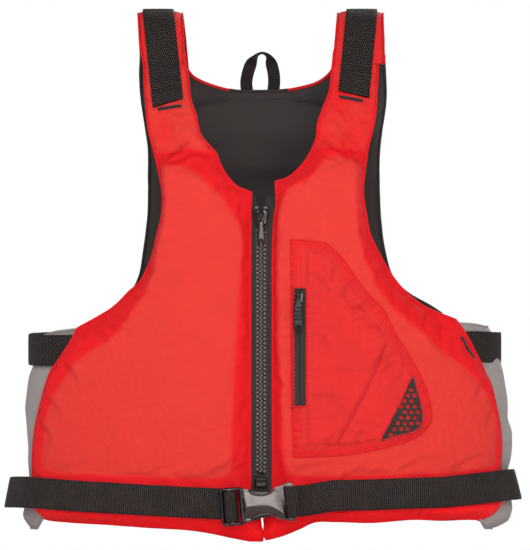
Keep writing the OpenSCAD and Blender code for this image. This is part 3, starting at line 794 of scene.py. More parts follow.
class Shader:
    """small helper to wire shader nodes"""
    def __init__(self, name):
        self.mat = bpy.data.materials.new(name)
        self.mat.use_nodes = True
        self.tree = self.mat.node_tree
        self.tree.nodes.clear()
        self.out = self.tree.nodes.new("ShaderNodeOutputMaterial")

    def put(self, socket, value):
        if hasattr(value, "is_output"):
            self.tree.links.new(value, socket)
        else:
            socket.default_value = value

    def add(self, kind, **settings):
        """_name sets a property, a b c the first inputs; __ in an input name is a space"""
        node = self.tree.nodes.new("ShaderNode" + kind)
        for k, v in settings.items():
            if k.startswith("_"):
                setattr(node, k[1:], v)
            else:
                key = {"a": 0, "b": 1, "c": 2}.get(k, k.replace("__", " "))
                self.put(node.inputs[key], v)
        return node

    def math(self, op, a, b=0.0):
        return self.add("Math", _operation=op, a=a, b=b, c=0.0).outputs[0]

    def mul(self, a, b):
        return self.math("MULTIPLY", a, b)

    def plus(self, a, b):
        return self.math("ADD", a, b)

    def mix(self, fac, a, b, blend="MIX"):
        node = self.tree.nodes.new("ShaderNodeMix")
        node.data_type = "RGBA"
        node.blend_type = blend
        for k, v in ((0, fac), (6, a), (7, b)):
            self.put(node.inputs[k], v)
        return node.outputs[2]

    def shade(self, colour, factor):
        grey = self.add("CombineXYZ", X=factor, Y=factor, Z=factor).outputs[0]
        return self.mix(1.0, colour, grey, "MULTIPLY")

    def attr(self, name):
        node = self.add("Attribute", _attribute_name=name, _attribute_type="GEOMETRY")
        return node.outputs["Fac"]

    def uv(self):
        s = self.add("SeparateXYZ", a=self.add("UVMap", _uv_map="UVMap").outputs[0])
        return s.outputs[0], s.outputs[1]

    def obj(self):
        return self.add("TexCoord").outputs["Object"]

    def ramp(self, value, src, to=(0.0, 1.0)):
        """map the range src to the range to"""
        return self.add("MapRange", a=value, b=src[0], c=src[1],
                        To__Min=to[0], To__Max=to[1]).outputs[0]

    def noise(self, scale, detail):
        return self.add("TexNoise", Vector=self.obj(), Scale=scale, Detail=detail,
                        Roughness=0.5).outputs["Fac"]

    def bump(self, height, distance, strength):
        return self.add("Bump", Height=height, Distance=distance, Strength=strength).outputs[0]

    def finish(self, **settings):
        node = self.add("BsdfPrincipled", **settings)
        self.tree.links.new(node.outputs[0], self.out.inputs[0])
        return self.mat


MIDDLE = (0.3, 0.7)     # the part of a noise's range that does the work


def weave_height(T, pitch):
    """plain weave from UV in millimetres"""
    u, v = T.uv()
    a = T.mul(u, 2 * math.pi / pitch)
    b = T.mul(v, 2 * math.pi / pitch)
    warp, weft = T.math("SINE", T.mul(a, 0.5)), T.math("SINE", T.mul(b, 0.5))
    x = T.mul(warp, weft)
    return T.plus(T.mul(T.math("ABSOLUTE", warp), T.math("GREATER_THAN", x, 0.0)),
                  T.mul(T.math("ABSOLUTE", weft), T.math("LESS_THAN", x, 0.0)))


def fabric(name, edge, face, pitch, rough, sheen, spec=0.3, mottling=0.06, depth=0.00012,
           tint=(1, 1, 1, 1)):
    """woven cloth. The "face" attribute blends the edge colour into the face colour and
    "seam" darkens with painted shade, and its negative values brighten with painted light;
    pitch is in mm, depth is the weave relief in metres"""
    T = Shader(name)
    base = T.mix(T.ramp(T.attr("face"), (-2.6, 1.2)), edge, face)
    weave = weave_height(T, pitch)
    blotch = T.noise(scale=38.0, detail=3.0)
    fibre = T.noise(scale=900.0, detail=2.0)
    weave_tone, fibre_tone, painted_shade_tone = 0.10, (0.97, 1.03), -0.38
    tone = T.plus(T.ramp(blotch, MIDDLE, (1 - mottling, 1 + mottling)),
                  T.mul(T.math("SUBTRACT", weave, 0.6), weave_tone))
    tone = T.mul(tone, T.ramp(fibre, MIDDLE, fibre_tone))
    # painted shade from the "seam" attribute: darker in creases, along seams and under parts, lighter as
    # painted light where it is negative
    tone = T.mul(tone, T.plus(T.mul(T.math("MINIMUM", T.attr("seam"), 1.0), painted_shade_tone), 1.0))
    colour = T.shade(base, tone)
    relief = T.bump(T.plus(weave, T.mul(fibre, 0.5)), distance=depth, strength=0.8)
    return T.finish(Base__Color=colour,
                    Roughness=T.ramp(blotch, MIDDLE, (rough - 0.04, rough + 0.05)),
                    Specular__IOR__Level=spec, Sheen__Weight=sheen, Sheen__Roughness=0.45,
                    Sheen__Tint=tint, Normal=relief)


def webbing(name, base, speck, across, along, rough=0.5):
    """ribbed webbing with lighter specks, in staggered cells of across by along mm"""
    T = Shader(name)
    u, v = T.uv()
    row = T.math("FLOOR", T.math("DIVIDE", v, along))
    in_row = T.math("FRACT", T.math("DIVIDE", v, along))
    stagger = T.mul(T.math("MODULO", T.math("ABSOLUTE", row), 2.0), 0.5)
    cell = T.plus(T.math("DIVIDE", u, across), stagger)
    cu = T.plus(T.mul(T.math("COSINE", T.mul(cell, 2 * math.pi)), 0.5), 0.5)
    cv = T.math("SINE", T.mul(in_row, math.pi))
    rib = T.mul(T.math("POWER", cv, 0.7), T.plus(T.mul(cu, 0.6), 0.4))
    fine = T.noise(scale=1500.0, detail=2.0)
    strands = T.add("CombineXYZ", X=T.mul(v, 0.9), Y=T.mul(u, 0.15), Z=0.0).outputs[0]
    fibre = T.add("TexWave", _wave_type="BANDS", Vector=strands, Scale=0.9,
                  Distortion=1.2).outputs["Fac"]
    speckle = T.mul(T.math("POWER", T.mul(cu, cv), 2.6),
                    T.ramp(fine, (0.35, 0.65), (0.5, 1.0)))
    colour = T.mix(T.math("MINIMUM", speckle, 1.0), base, speck)
    colour = T.shade(colour, T.ramp(T.noise(scale=60.0, detail=3.0), MIDDLE, (0.85, 1.15)))
    height = T.plus(rib, T.plus(T.mul(fine, 0.25), T.mul(fibre, 0.2)))
    return T.finish(Base__Color=colour,
                    Roughness=T.ramp(fine, MIDDLE, (rough - 0.08, rough + 0.12)),
                    Specular__IOR__Level=0.14,
                    Normal=T.bump(height, distance=0.0004, strength=0.9))


def plastic(name, colour, rough, spec, wear_and_glint=None, tint=(1, 1, 1, 1)):
    """moulded plastic with lighter edges and faint scratches; the edges are worn, and on the zip teeth their
    light colour is a painted highlight
    """
    T = Shader(name)
    blotch, grain = T.noise(scale=55.0, detail=4.0), T.noise(scale=2200.0, detail=2.0)
    lighter = tuple(min(1, v * 1.35 + 0.003) for v in colour[:3]) + (1,)
    wear_and_glint = wear_and_glint or tuple(min(1, v * 2.2 + 0.02) for v in colour[:3]) + (1,)
    base = T.mix(T.ramp(blotch, (0.35, 0.75), (0.0, 0.5)), colour, lighter)
    edge = T.ramp(T.add("NewGeometry").outputs["Pointiness"], (0.53, 0.62))
    base = T.mix(T.mul(edge, 0.22), base, wear_and_glint)
    place = T.add("Mapping", Vector=T.obj(), Scale=(1.0, 1.0, 0.35)).outputs[0]
    scratch = T.add("TexWave", _wave_type="BANDS", Vector=place, Scale=160.0,
                    Distortion=9.0, Detail=3.0).outputs["Fac"]
    roughness = T.plus(T.ramp(blotch, MIDDLE, (rough - 0.05, rough + 0.07)),
                       T.mul(scratch, 0.04))
    return T.finish(Base__Color=base, Roughness=roughness, Specular__IOR__Level=spec,
                    Specular__Tint=tint, Coat__Weight=0.0, Coat__Roughness=0.15,
                    Normal=T.bump(grain, distance=0.00003, strength=0.5))


RED_CLOTH = dict(pitch=0.6, rough=0.62, sheen=0.05, spec=0.16, tint=(1.0, 0.35, 0.3, 1))
THREAD = dict(pitch=0.3, rough=0.5, sheen=0.2)
MAT = {
    "red": fabric("red_nylon", srgb(221, 18, 27), srgb(218, 53, 47), mottling=0.03,
                  **RED_CLOTH),
    "pocket": fabric("pocket_nylon", srgb(217, 30, 34), srgb(216, 41, 41), mottling=0.04,
                     **RED_CLOTH),
    "lining": fabric("black_lining", srgb(47, 39, 38), srgb(50, 42, 41), pitch=0.8, rough=0.6,
                     sheen=0.10, spec=0.25, mottling=0.14),
    "grey": fabric("grey_side_cloth", srgb(142, 134, 132), srgb(154, 146, 144), pitch=0.7,
                   rough=0.7, sheen=0.12, mottling=0.07),
    "tape": fabric("zip_tape_cloth", srgb(42, 36, 35), srgb(48, 42, 41), pitch=0.9,
                   rough=0.65, sheen=0.08, mottling=0.12, depth=0.0002),
    "web": webbing("shoulder_webbing", srgb(5, 4, 4), srgb(119, 103, 98), across=1.9,
                   along=2.1, rough=0.6),
    "belt": webbing("belt_webbing", srgb(10, 7, 7), srgb(126, 111, 106), across=1.6,
                    along=1.7, rough=0.6),
    "loop": webbing("narrow_webbing", srgb(26, 21, 21), srgb(84, 75, 72), across=1.1,
                    along=1.2),
    "mesh": fabric("drain_mesh", srgb(34, 29, 29), srgb(44, 38, 38), pitch=0.4, rough=0.55,
                   sheen=0.2, depth=0.0001),
    "thread_red": fabric("red_thread", srgb(206, 26, 32), srgb(222, 40, 42), **THREAD),
    "thread": fabric("black_thread", srgb(30, 26, 26), srgb(40, 36, 36), **THREAD),
    "buckle": plastic("buckle_acetal", srgb(36, 29, 27), rough=0.24, spec=0.78,
                      tint=(1.0, 0.90, 0.86, 1)),
    "frame": plastic("buckle_frame_acetal", srgb(17, 14, 14), rough=0.2, spec=0.42),
    "zipbox": plastic("zip_box_acetal", srgb(22, 19, 19), rough=0.4, spec=0.25),
    # the light edge colour here is painted highlight: glints on the tooth heads
    "teeth": plastic("zip_teeth_acetal", srgb(60, 52, 51), rough=0.26, spec=0.7,
                     wear_and_glint=srgb(140, 130, 127)),
    "slider": plastic("slider_enamel", srgb(20, 17, 17), rough=0.12, spec=0.42),
    "pull": plastic("pull_nylon", srgb(20, 17, 17), rough=0.3, spec=0.25),
    "foam": fabric("flotation_foam", srgb(236, 232, 222), srgb(240, 236, 228), pitch=1.5,
                   rough=0.9, sheen=0.0),
}


# ------------------------------------------------------------------ padded panels
FOAM_THICKNESS = 34
# z, share of the foam thickness
FRONT_THICKNESS = points("0 .85  20 1  270 1  310 .62  335 .30  437 .235")
BACK_THICKNESS = points("""0 .85  30 .94  320 .94  352 .7  370 .45  390 .25  437 .235""")
ROLL_TONE = -3.0        # "face" value of rolled edges: all edge colour
BORDER = 1.4            # depth of the cloth at the foam's edge


def panel_outline(segments, fall):
    """closed outline from (points, seam depth) segments, with the depth eased between
    them and brought to the shoulder's depth over a height of fall"""
    pts, depths = [], []
    for segment, depth in segments:
        r = resample(catmull(segment, 12), 2.2)[:-1]
        pts.append(r)
        depths.append(np.full(len(r), float(depth)))
    outline, e = np.concatenate(pts), np.concatenate(depths)
    k = np.exp(-0.5 * (np.arange(-9, 10) / 3.5) ** 2)
    k /= k.sum()
    e = np.convolve(np.concatenate([e[-9:], e, e[:9]]), k, "same")[9:-9]
    z = outline[:, 1]
    return outline, np.where(z > 318, 4.0 + (e - 4.0) * np.clip(1 - (z - 318) / fall, 0, 1), e)


def creases(table, x, z, shade_marks=False):
    """depth change from drawn creases; with the flag set, only their valleys, a little narrower, as painted
    shade for the creases
    """
    out = np.zeros(len(x))
    pts = np.stack([x, z], 1)
    for path, w, amp, ridge in table:
        if shade_marks:
            w, ridge = w * 0.8, 0
        line = catmull(path, 8)
        d, i, f = seg_dist(pts, line, False)
        length = arclen(line)
        t = (length[i] + f * (length[i + 1] - length[i])) / length[-1]
        fade = np.clip(np.sin(np.pi * np.clip(t * 0.9 + 0.05, 0, 1)), 0, 1) ** 0.7
        a, b = line[i], line[i + 1]
        side = np.sign((b[:, 0] - a[:, 0]) * (z - a[:, 1]) - (b[:, 1] - a[:, 1]) * (x - a[:, 0]))
        out += fade * (amp * bell(d, w) - ridge * bell(d * side - 1.9 * w, 1.3 * w))
    return out


def panel(name, outline, edge_depth, foam, thickness, crease, seed, h=3.2, back=False,
          crown=1.0, tone=0.0):
    """padded panel of an outer cloth and a lining that meet at a seam. outline and foam are
    front-view loops, edge_depth the seam depth at each outline point"""
    loop = to_cloth(outline, edge_depth, back)
    keep, gone = [0], 0
    for i in range(1, len(loop)):
        gone += np.linalg.norm(loop[i] - loop[i - 1])
        if gone > h * 0.6:
            keep.append(i)
            gone = 0
    loop, edge_depth = loop[keep], edge_depth[keep]
    foam_loop = resample(close(to_cloth(foam, 1.0, back)), h)[:-1]
    pts, tris = fill(loop, h)
    t, s = pts[:, 0], pts[:, 1]
    x = x_of_t(t)
    z = surf(x, s, 2.0)[:, 2]
    d, i, f, around = along_loop(pts, loop)
    seam_depth = edge_depth[i] * (1 - f) + np.roll(edge_depth, -1)[i] * f
    foam_d = distance(pts, foam_loop)
    on_foam = inside(pts, foam_loop)
    front_view = surf(x, s, 2.0)[:, 0]

    # from the seam up to the foam, then over its crowned face
    climb = np.where(on_foam, 1.0, d / (d + foam_d + 1e-9))
    padded = np.maximum(climb, 0.9 * (1 - np.exp(-d / 5.0))
                        * ease(14, 34, np.where(on_foam, 0, foam_d)))
    depth = BORDER + (seam_depth - BORDER) * (1 - padded) ** 1.15
    depth = np.where(on_foam,
                     BORDER * np.exp(-foam_d / 5.0) - crown * (1 - np.exp(-foam_d / 30.0)),
                     depth - 1.3 * np.sin(np.pi * np.clip(climb, 0, 1))
                     * np.minimum(1, (d + foam_d) / 18))
    # broad waves, smaller ones, puckers along the seam and the drawn creases
    unevenness = 0.42
    broad = noise(t / 62, s / 55, seed, 3)
    small = noise(t / 19, s / 24, seed + 5, 3)
    depth = (depth + broad * np.where(on_foam, 0.5, 0.8) * unevenness * np.minimum(1, d / 14)
             + small * np.where(on_foam, 0.04, 0.8) * unevenness * np.minimum(1, d / 8))
    phase = noise(around / 17, 0.5, seed + 9, 2)
    depth = depth + (0.45 * np.exp(-d / 6.5) * np.sin(2 * np.pi * (around / 8.3 + 0.9 * phase))
                     * np.minimum(1, d / 1.8)
                     * (0.5 + 0.8 * np.abs(noise(around / 31, 3.5, seed + 11, 2))))
    depth = depth + 1.7 * creases(crease, front_view, z) * np.minimum(1, d / 4)
    seam = d < 1e-6
    depth = np.where(seam, seam_depth, depth)
    cloth = new_obj(name, surf(x, s, depth), tris, MAT["red"])
    set_uv(cloth, t, s)

    face = np.clip(np.where(on_foam, foam_d, -foam_d), -12, 12)
    shoulder = ease(314, 326, z) * (0 if back else 1)
    set_attr(cloth, "face", face * (1 - shoulder)
             + shoulder * (tone + 1.6 * noise(t / 16, s / 20, seed + 31, 2)))
    # painted shade in the crease valleys; on the fronts a negative value below the belt paints light where
    # the belt shades the downward-facing hem
    shade_marks = np.clip(0.35 * creases(crease, front_view, z, shade_marks=True), 0, 0.5)
    set_attr(cloth, "seam", shade_marks * np.minimum(1, d / 4)
             - (0.0 if back else 0.75) * (1 - ease(29, 37, z)))

    pin = np.where(seam, 1.0, np.where(d < h * 1.2, 0.3, np.where(
        on_foam, np.minimum(0.8, 0.15 + foam_d / 22), 0.06)))
    pin = np.maximum(pin, 0.6 * ease(318, 334, z))
    settle(cloth, pin, shrink=-0.035, pressure=1.2, bend=0.6, cap=2.6)

    inner = FOAM_THICKNESS * lookup(z, thickness)
    inner = seam_depth + (inner - seam_depth) * np.clip(padded, 0, 1) ** 0.6
    wrinkle = noise(t / 26, s / 20, seed + 21, 4) * 1.3 * np.minimum(1, d / 10)
    inner = np.where(seam, seam_depth, np.maximum(inner + wrinkle, seam_depth + 0.3))
    lining = new_obj(name + "_lining", surf(x, s, inner), tris[:, ::-1], MAT["lining"])
    set_uv(lining, t, s)
    return SimpleNamespace(cloth=cloth, lining=lining, pts=pts, tris=tris, x=x, s=s, loop=loop,
                           edge_depth=edge_depth, on_foam=on_foam, foam_d=foam_d,
                           depth=depth, inner=inner)


# Front outlines as front-view x, z. Segments in order: top, armhole, side, hem, zip, neck.
FRONT_SEAM_DEPTHS = (4.0, 14.0, 6.5, 12.0, 9.0, 10.0)
RIGHT_SEGMENTS = [points(text) for text in (
    "-96.4 403.4  -63.8 403.4",
    """-150.5 175.1  -136.1 182.9  -120.5 192.7  -108.2 205.0  -99.2 213.2  -90.2 231.2
    -84.5 253.4  -81.2 267.3  -80.4 284.5  -83.6 304.2  -87.7 321.4  -91.8 337.8
    -93.5 352.6  -95.1 370.6  -95.9 387.0  -96.4 403.4""",
    """-187.0 28.7  -187.8 41.0  -187.8 53.3  -187.4 75.4  -185.3 93.5  -179.6 118.1
    -173.0 138.6  -166.5 148.4  -159.9 158.3  -154.6 166.9  -150.5 175.1""",
    """0.8 0.8  -9.0 1.2  -19.7 3.3  -31.2 5.7  -45.9 8.6  -63.1 10.7  -91.8 12.3
    -127.9 14.8  -156.6 16.4  -179.6 19.7  -187.0 28.7""",
    """-8.2 286.6  -8.7 272.2  -8.9 247.6  -9.0 198.4  -9.0 116.4  -9.0 50.8  -8.6 39.4
    -5.7 29.5  -2.6 23.8  -1.1 18.9  -0.7 13.9  0.7 8.6  1.1 4.9  0.8 0.8""",
    """-63.8 403.4  -63.1 395.2  -60.7 383.8  -58.2 362.4  -54.1 351.0  -50.0 333.7
    -42.6 324.7  -36.9 318.2  -33.6 309.1  -27.1 298.5  -19.7 291.1  -8.2 286.6""")]
LEFT_SEGMENTS = [points(text) for text in (
    "60.2 403.4  95.5 403.4",
    """95.5 403.4  95.9 394.4  95.1 372.3  93.5 349.3  90.2 333.7  87.7 323.9  84.5 300.9
    83.6 286.2  86.1 267.3  89.4 251.7  96.8 236.2  104.1 223.0  107.4 218.1
    118.1 205.0  132.8 193.5  146.8 187.0  159.9 182.0""",
    """159.9 182.0  167.3 171.4  179.2 149.2  185.3 136.1  188.6 129.6  194.3 106.6
    197.6 85.3  197.2 59.0  196.4 42.6  196.0 32.0""",
    """196.0 32.0  190.2 22.1  181.6 17.2  176.3 18.4  146.8 18.0  127.1 18.9  89.4 16.4
    60.7 17.2  43.5 16.8  32.0 11.5  17.6 5.7  4.4 2.1""",
    """4.4 2.1  3.2 4.9  2.8 8.6  3.3 13.9  2.8 18.9  3.4 23.8  6.1 29.5  9.0 39.4
    9.8 50.8  9.8 116.4  9.8 198.4  9.8 228.8  11.0 263.2  13.1 278.0  12.3 295.2""",
    """12.3 295.2  22.1 298.5  30.3 305.0  39.4 316.5  46.3 332.9  46.7 341.1  50.8 354.2
    56.6 369.0  58.2 382.9  59.9 398.5  60.2 403.4""")]
# outlines of the foam's outer face
RIGHT_FOAM = points("""-79.3 307.5  -69.7 307.9  -58.6 305.3  -45.6 294.4  -32.8 281.3
    -21.7 264.0  -17.6 255.0  -17.4 238.0  -18.4 223.0  -19.7 207.5  -21.3 173.8
    -23.9 120.7  -26.2 66.4  -27.1 56.6  -41.8 53.3  -91.0 54.1  -140.2 55.8
    -168.9 57.4  -177.9 62.3  -178.8 75.4  -176.3 100.0  -169.4 120.7  -158.5 138.1
    -143.5 153.3  -121.6 166.5  -102.1 192.7  -89.4 216.5  -84.7 242.3  -79.5 266.5
    -79.1 284.5  -80.4 298.7""")
LEFT_FOAM = points("""57.2 315.7  67.2 314.1  76.7 310.8  77.9 305.0  78.3 297.7
    77.9 266.5  82.0 240.3  95.1 207.5  112.3 186.1  132.0 170.6  151.7 153.3
    171.4 138.2  184.2 120.8  192.7 99.2  193.5 75.4  191.1 64.0  171.4 59.0
    130.4 56.6  81.2 54.9  40.2 54.9  25.4 56.6  21.3 67.2  18.9 100.0  17.2 132.8
    15.6 173.8  15.2 214.8  14.8 251.7  16.4 271.7  23.0 287.8  32.0 293.1
    40.8 297.7""")
RIGHT_CREASES = crease_table("""
1.9 1.7 1.1  -59.9 330.5  -66.4 325.5  -73.8 320.6  -79.5 315.7
1.7 1.1 0.7  -53.3 321.4  -63.1 315.7  -73.0 310.0
1.6 0.6 0.4  -84.5 321.4  -77.1 319.8  -68.1 322.3
2.2 0.7 0.3  -77.9 347.7  -73.0 340.3  -74.6 331.3
2.0 0.6 0.3  -63.1 346.0  -65.6 337.0  -61.5 328.8
2.6 1.2 0.7  -44.3 54.9  -30.3 60.7  -15.6 69.7
2.2 0.9 0.5  -32.0 54.1  -22.1 59.0  -12.3 64.8
2.0 0.7 0.4  -14.8 83.6  -18.9 73.8  -23.8 64.8
2.0 0.9 0.5  -131.2 183.7  -123.8 177.1  -112.3 173.0
1.8 0.9 0.5  -125.5 187.8  -117.3 182.9  -107.4 181.2
1.8 0.8 0.4  -117.3 194.3  -109.9 191.9  -101.7 194.3
1.8 0.8 0.4  -109.1 202.5  -102.5 200.9  -94.3 205.0
2.0 0.8 0.5  -140.2 179.6  -135.3 172.2  -127.1 165.6
2.0 0.8 0.5  -148.4 173.8  -145.1 166.5  -138.6 159.9
1.6 0.6 0.3  -94.3 221.4  -89.4 222.2  -85.3 226.3
1.6 0.6 0.3  -86.9 242.7  -82.8 244.4  -80.4 249.3
1.8 0.7 0.4  -32.8 296.8  -36.9 291.1  -39.4 286.2
1.8 0.7 0.4  -23.0 286.2  -25.4 280.4  -26.2 273.1
1.8 0.6 0.4  -14.8 280.4  -17.2 270.6  -14.8 259.1
1.8 0.6 0.4  -9.8 235.3  -13.1 229.6  -15.6 218.9
1.8 0.6 0.4  -9.8 173.8  -13.9 165.6  -14.8 155.8
1.8 0.6 0.4  -11.5 116.4  -14.8 109.9  -16.4 100.0
2.4 0.9 0.5  -177.1 116.4  -171.4 113.2  -166.5 105.8
2.4 0.8 0.5  -182.0 95.9  -177.1 91.0  -174.7 83.6
2.4 0.9 0.5  -163.2 144.3  -156.6 139.4  -151.7 132.0
3.0 0.4 0.2  -164.8 57.4  -152.5 62.3  -136.1 64.8
3.0 0.35 0.2  -91.0 54.1  -82.8 59.0  -69.7 62.3
""")
LEFT_CREASES = crease_table("""
1.9 1.5 1.0  50.0 332.9  58.2 326.4  68.1 319.8
2.2 1.3 0.9  59.9 347.7  68.9 337.0  81.2 329.6
1.7 0.6 0.4  68.9 347.7  73.0 341.1  82.8 337.8
1.6 0.7 0.4  46.7 321.4  53.3 316.5  61.5 314.9
1.7 0.7 0.4  32.8 300.1  36.9 293.6  35.3 287.0
1.7 0.7 0.4  22.1 293.6  25.4 287.0  23.8 280.4
1.8 0.8 0.5  86.1 259.1  81.2 254.2  79.5 245.2
1.8 0.9 0.5  92.7 241.9  86.9 237.8  85.3 228.8
1.8 0.9 0.5  102.5 224.7  96.8 219.8  95.9 210.7
1.8 0.9 0.5  113.2 210.7  108.2 204.2  109.1 196.0
1.8 0.9 0.5  126.3 198.4  120.5 191.9  121.4 184.5
2.0 0.9 0.5  141.9 188.6  135.3 182.0  134.5 173.8
2.0 0.8 0.5  156.6 180.4  149.2 173.8  149.2 164.0
2.2 0.8 0.5  185.3 128.7  179.6 123.8  177.1 115.6
2.2 0.8 0.5  192.7 108.2  187.0 103.3  185.3 93.5
1.6 0.6 0.4  12.3 257.5  16.4 250.9  16.4 241.1
1.6 0.5 0.3  10.7 198.4  14.8 190.2  14.8 180.4
1.6 0.5 0.3  11.5 139.4  15.6 132.0  15.6 120.5
2.6 0.5 0.3  32.0 59.0  56.6 63.1  74.6 62.3
2.6 0.5 0.3  114.0 59.0  130.4 65.6  151.7 68.9
2.4 0.5 0.3  159.1 59.0  168.1 65.6  182.9 71.3
""")


def front_panel(side, segments, foam, crease, seed, tone):
    outline, depth = panel_outline(zip(segments, FRONT_SEAM_DEPTHS), 30)
    return panel("front_%s_cloth" % side, outline, depth, smooth_ring(foam, 6, 3.0),
                 FRONT_THICKNESS, crease, seed, tone=tone)


FRONTS = {
    "right": front_panel("right", [p[::-1] for p in RIGHT_SEGMENTS], RIGHT_FOAM,
                         RIGHT_CREASES, seed=3, tone=0.5),
    "left": front_panel("left", LEFT_SEGMENTS, LEFT_FOAM, LEFT_CREASES, seed=8, tone=-0.9),
}

# Back outline: front-view x, z segments with their seam depths
BACK_SEGMENTS = [
    (points("""-63.5 402  -62.5 395  -60.7 388.7  -55.8 382.9  -44.3 377.2  -23 371.6
        0 371.0  17.2 371.6  32 373.9  46.7 378.2  56.6 385.6  60.5 393  62.0 402"""), 5.0),
    (points("62.0 402  101.5 402"), 4.0),
    (points("""101.5 402  101.7 395  102.8 372  102.4 360  99.2 337.8  97.2 318  97.4 286
        98.8 260  102.0 238.6  107.5 219  114.5 209.5  124 201.8  138 194  149 187"""), 15.0),
    (points("149 187  155 174  163 154  170 130  172 100  171 60  166 30"), 9.0),
    (points("166 30  120 26  60 22  0 20  -60 22  -120 26  -166 30"), 12.0),
    (points("-166 30  -171 60  -172 100  -170 130  -162 153  -150 171"), 9.0),
    (points("""-150 171  -132 180.5  -117 191.5  -107 204  -100 219  -97.0 236  -94.3 255.8
        -92.7 273  -92.5 300  -92.7 324.7  -95 341  -98.4 364  -99.6 382.9  -99.3 394.4
        -99 402"""), 15.0),
    (points("-99 402  -63.5 402"), 4.0)]
BACK_FOAM = points("""-70 330  -40 345  0 348  40 345  70 330  76 300  78 260  82 232
    96 206  116 186  136 166  150 140  154 110  153 70  148 44  120 38  60 33  0 31
    -60 33  -120 38  -148 44  -153 70  -154 110  -150 140  -136 166  -116 186
    -96 206  -82 232  -78 260  -76 300""")
BACK_CREASES = crease_table("""
3.4 3.4 0.9  -150 176  -75 178  0 179  75 178  150 176
3 0.8 0.4  -120 60  -110 75  -112 95
3 0.8 0.4  118 56  112 72  116 88
2.6 0.9 0.5  -30 345  -22 335  -26 322
2.6 0.9 0.5  34 346  28 334  30 322
2.6 0.8 0.4  -78 318  -70 312  -62 314
2.6 0.8 0.4  78 316  70 308  60 310
2.6 0.9 0.4  -80 236  -72 232  -60 236
2.6 0.9 0.4  80 236  70 230  60 233
3 0.9 0.5  -60 34  -54 44  -58 56
3 0.9 0.5  30 32  36 44  30 55
""")
BACK = panel("back_cloth", *panel_outline(BACK_SEGMENTS, 40),
             smooth_ring(BACK_FOAM, 6, 3.0), BACK_THICKNESS, BACK_CREASES, seed=15, h=3.8,
             back=True, crown=1.5)


def face_depth(part):
    """function giving the depth of a panel's finished face at any x, s"""
    verts = vertex_coords(part.cloth.data) / MM
    at = interpolator(list(zip(t_of_x(part.x), part.s)), depth_of(verts, part.x, part.s),
                      count=4, soft=0.3)
    return lambda x, s: at(t_of_x(np.atleast_1d(x)), np.atleast_1d(s))


FACE = {side: face_depth(part) for side, part in FRONTS.items()}
FACE["back"] = face_depth(BACK)


def on_face(side, pts, lift=0.0):
    """points on the finished face of a front panel, and its normals, at front-view x, z"""
    p = np.array(pts, float)
    x, s = solve(p[:, 0], p[:, 1], 1.0)
    d = FACE[side](x, s)
    n = outward(x, s, d)
    return surf(x, s, d - lift), n / (np.linalg.norm(n, axis=1, keepdims=True) + 1e-9)


# ------------------------------------------------------------------ shoulder yokes
# z, inner and outer distance from the middle
YOKE_FRONT = {
    "right": [(393, 63.6, 98.8), (402, 63.8, 99.0), (415, 64.2, 100.0), (437, 65.0, 101.4)],
    "left": [(393, 59.9, 101.9), (402, 60.4, 101.4), (415, 61.6, 100.8), (437, 63.5, 100.4)]}
YOKE_BACK = {
    "right": [(390, 60.6, 99.6), (402, 61.5, 99.8), (415, 62.6, 100.6), (437, 65.0, 101.4)],
    "left": [(390, 60.6, 101.8), (402, 61.5, 101.8), (415, 62.6, 101.6), (437, 63.5, 100.4)]}
# height and spread of the outer corner's drift at the front end
YOKE_CORNER = {"right": (2.4, 9.0), "left": (1.6, 2.0)}
# blend start at the back and end at the front, in metres
SHOULDER_BLEND = ((0, 0.020, 0.43), (0, -0.042, 0.43))


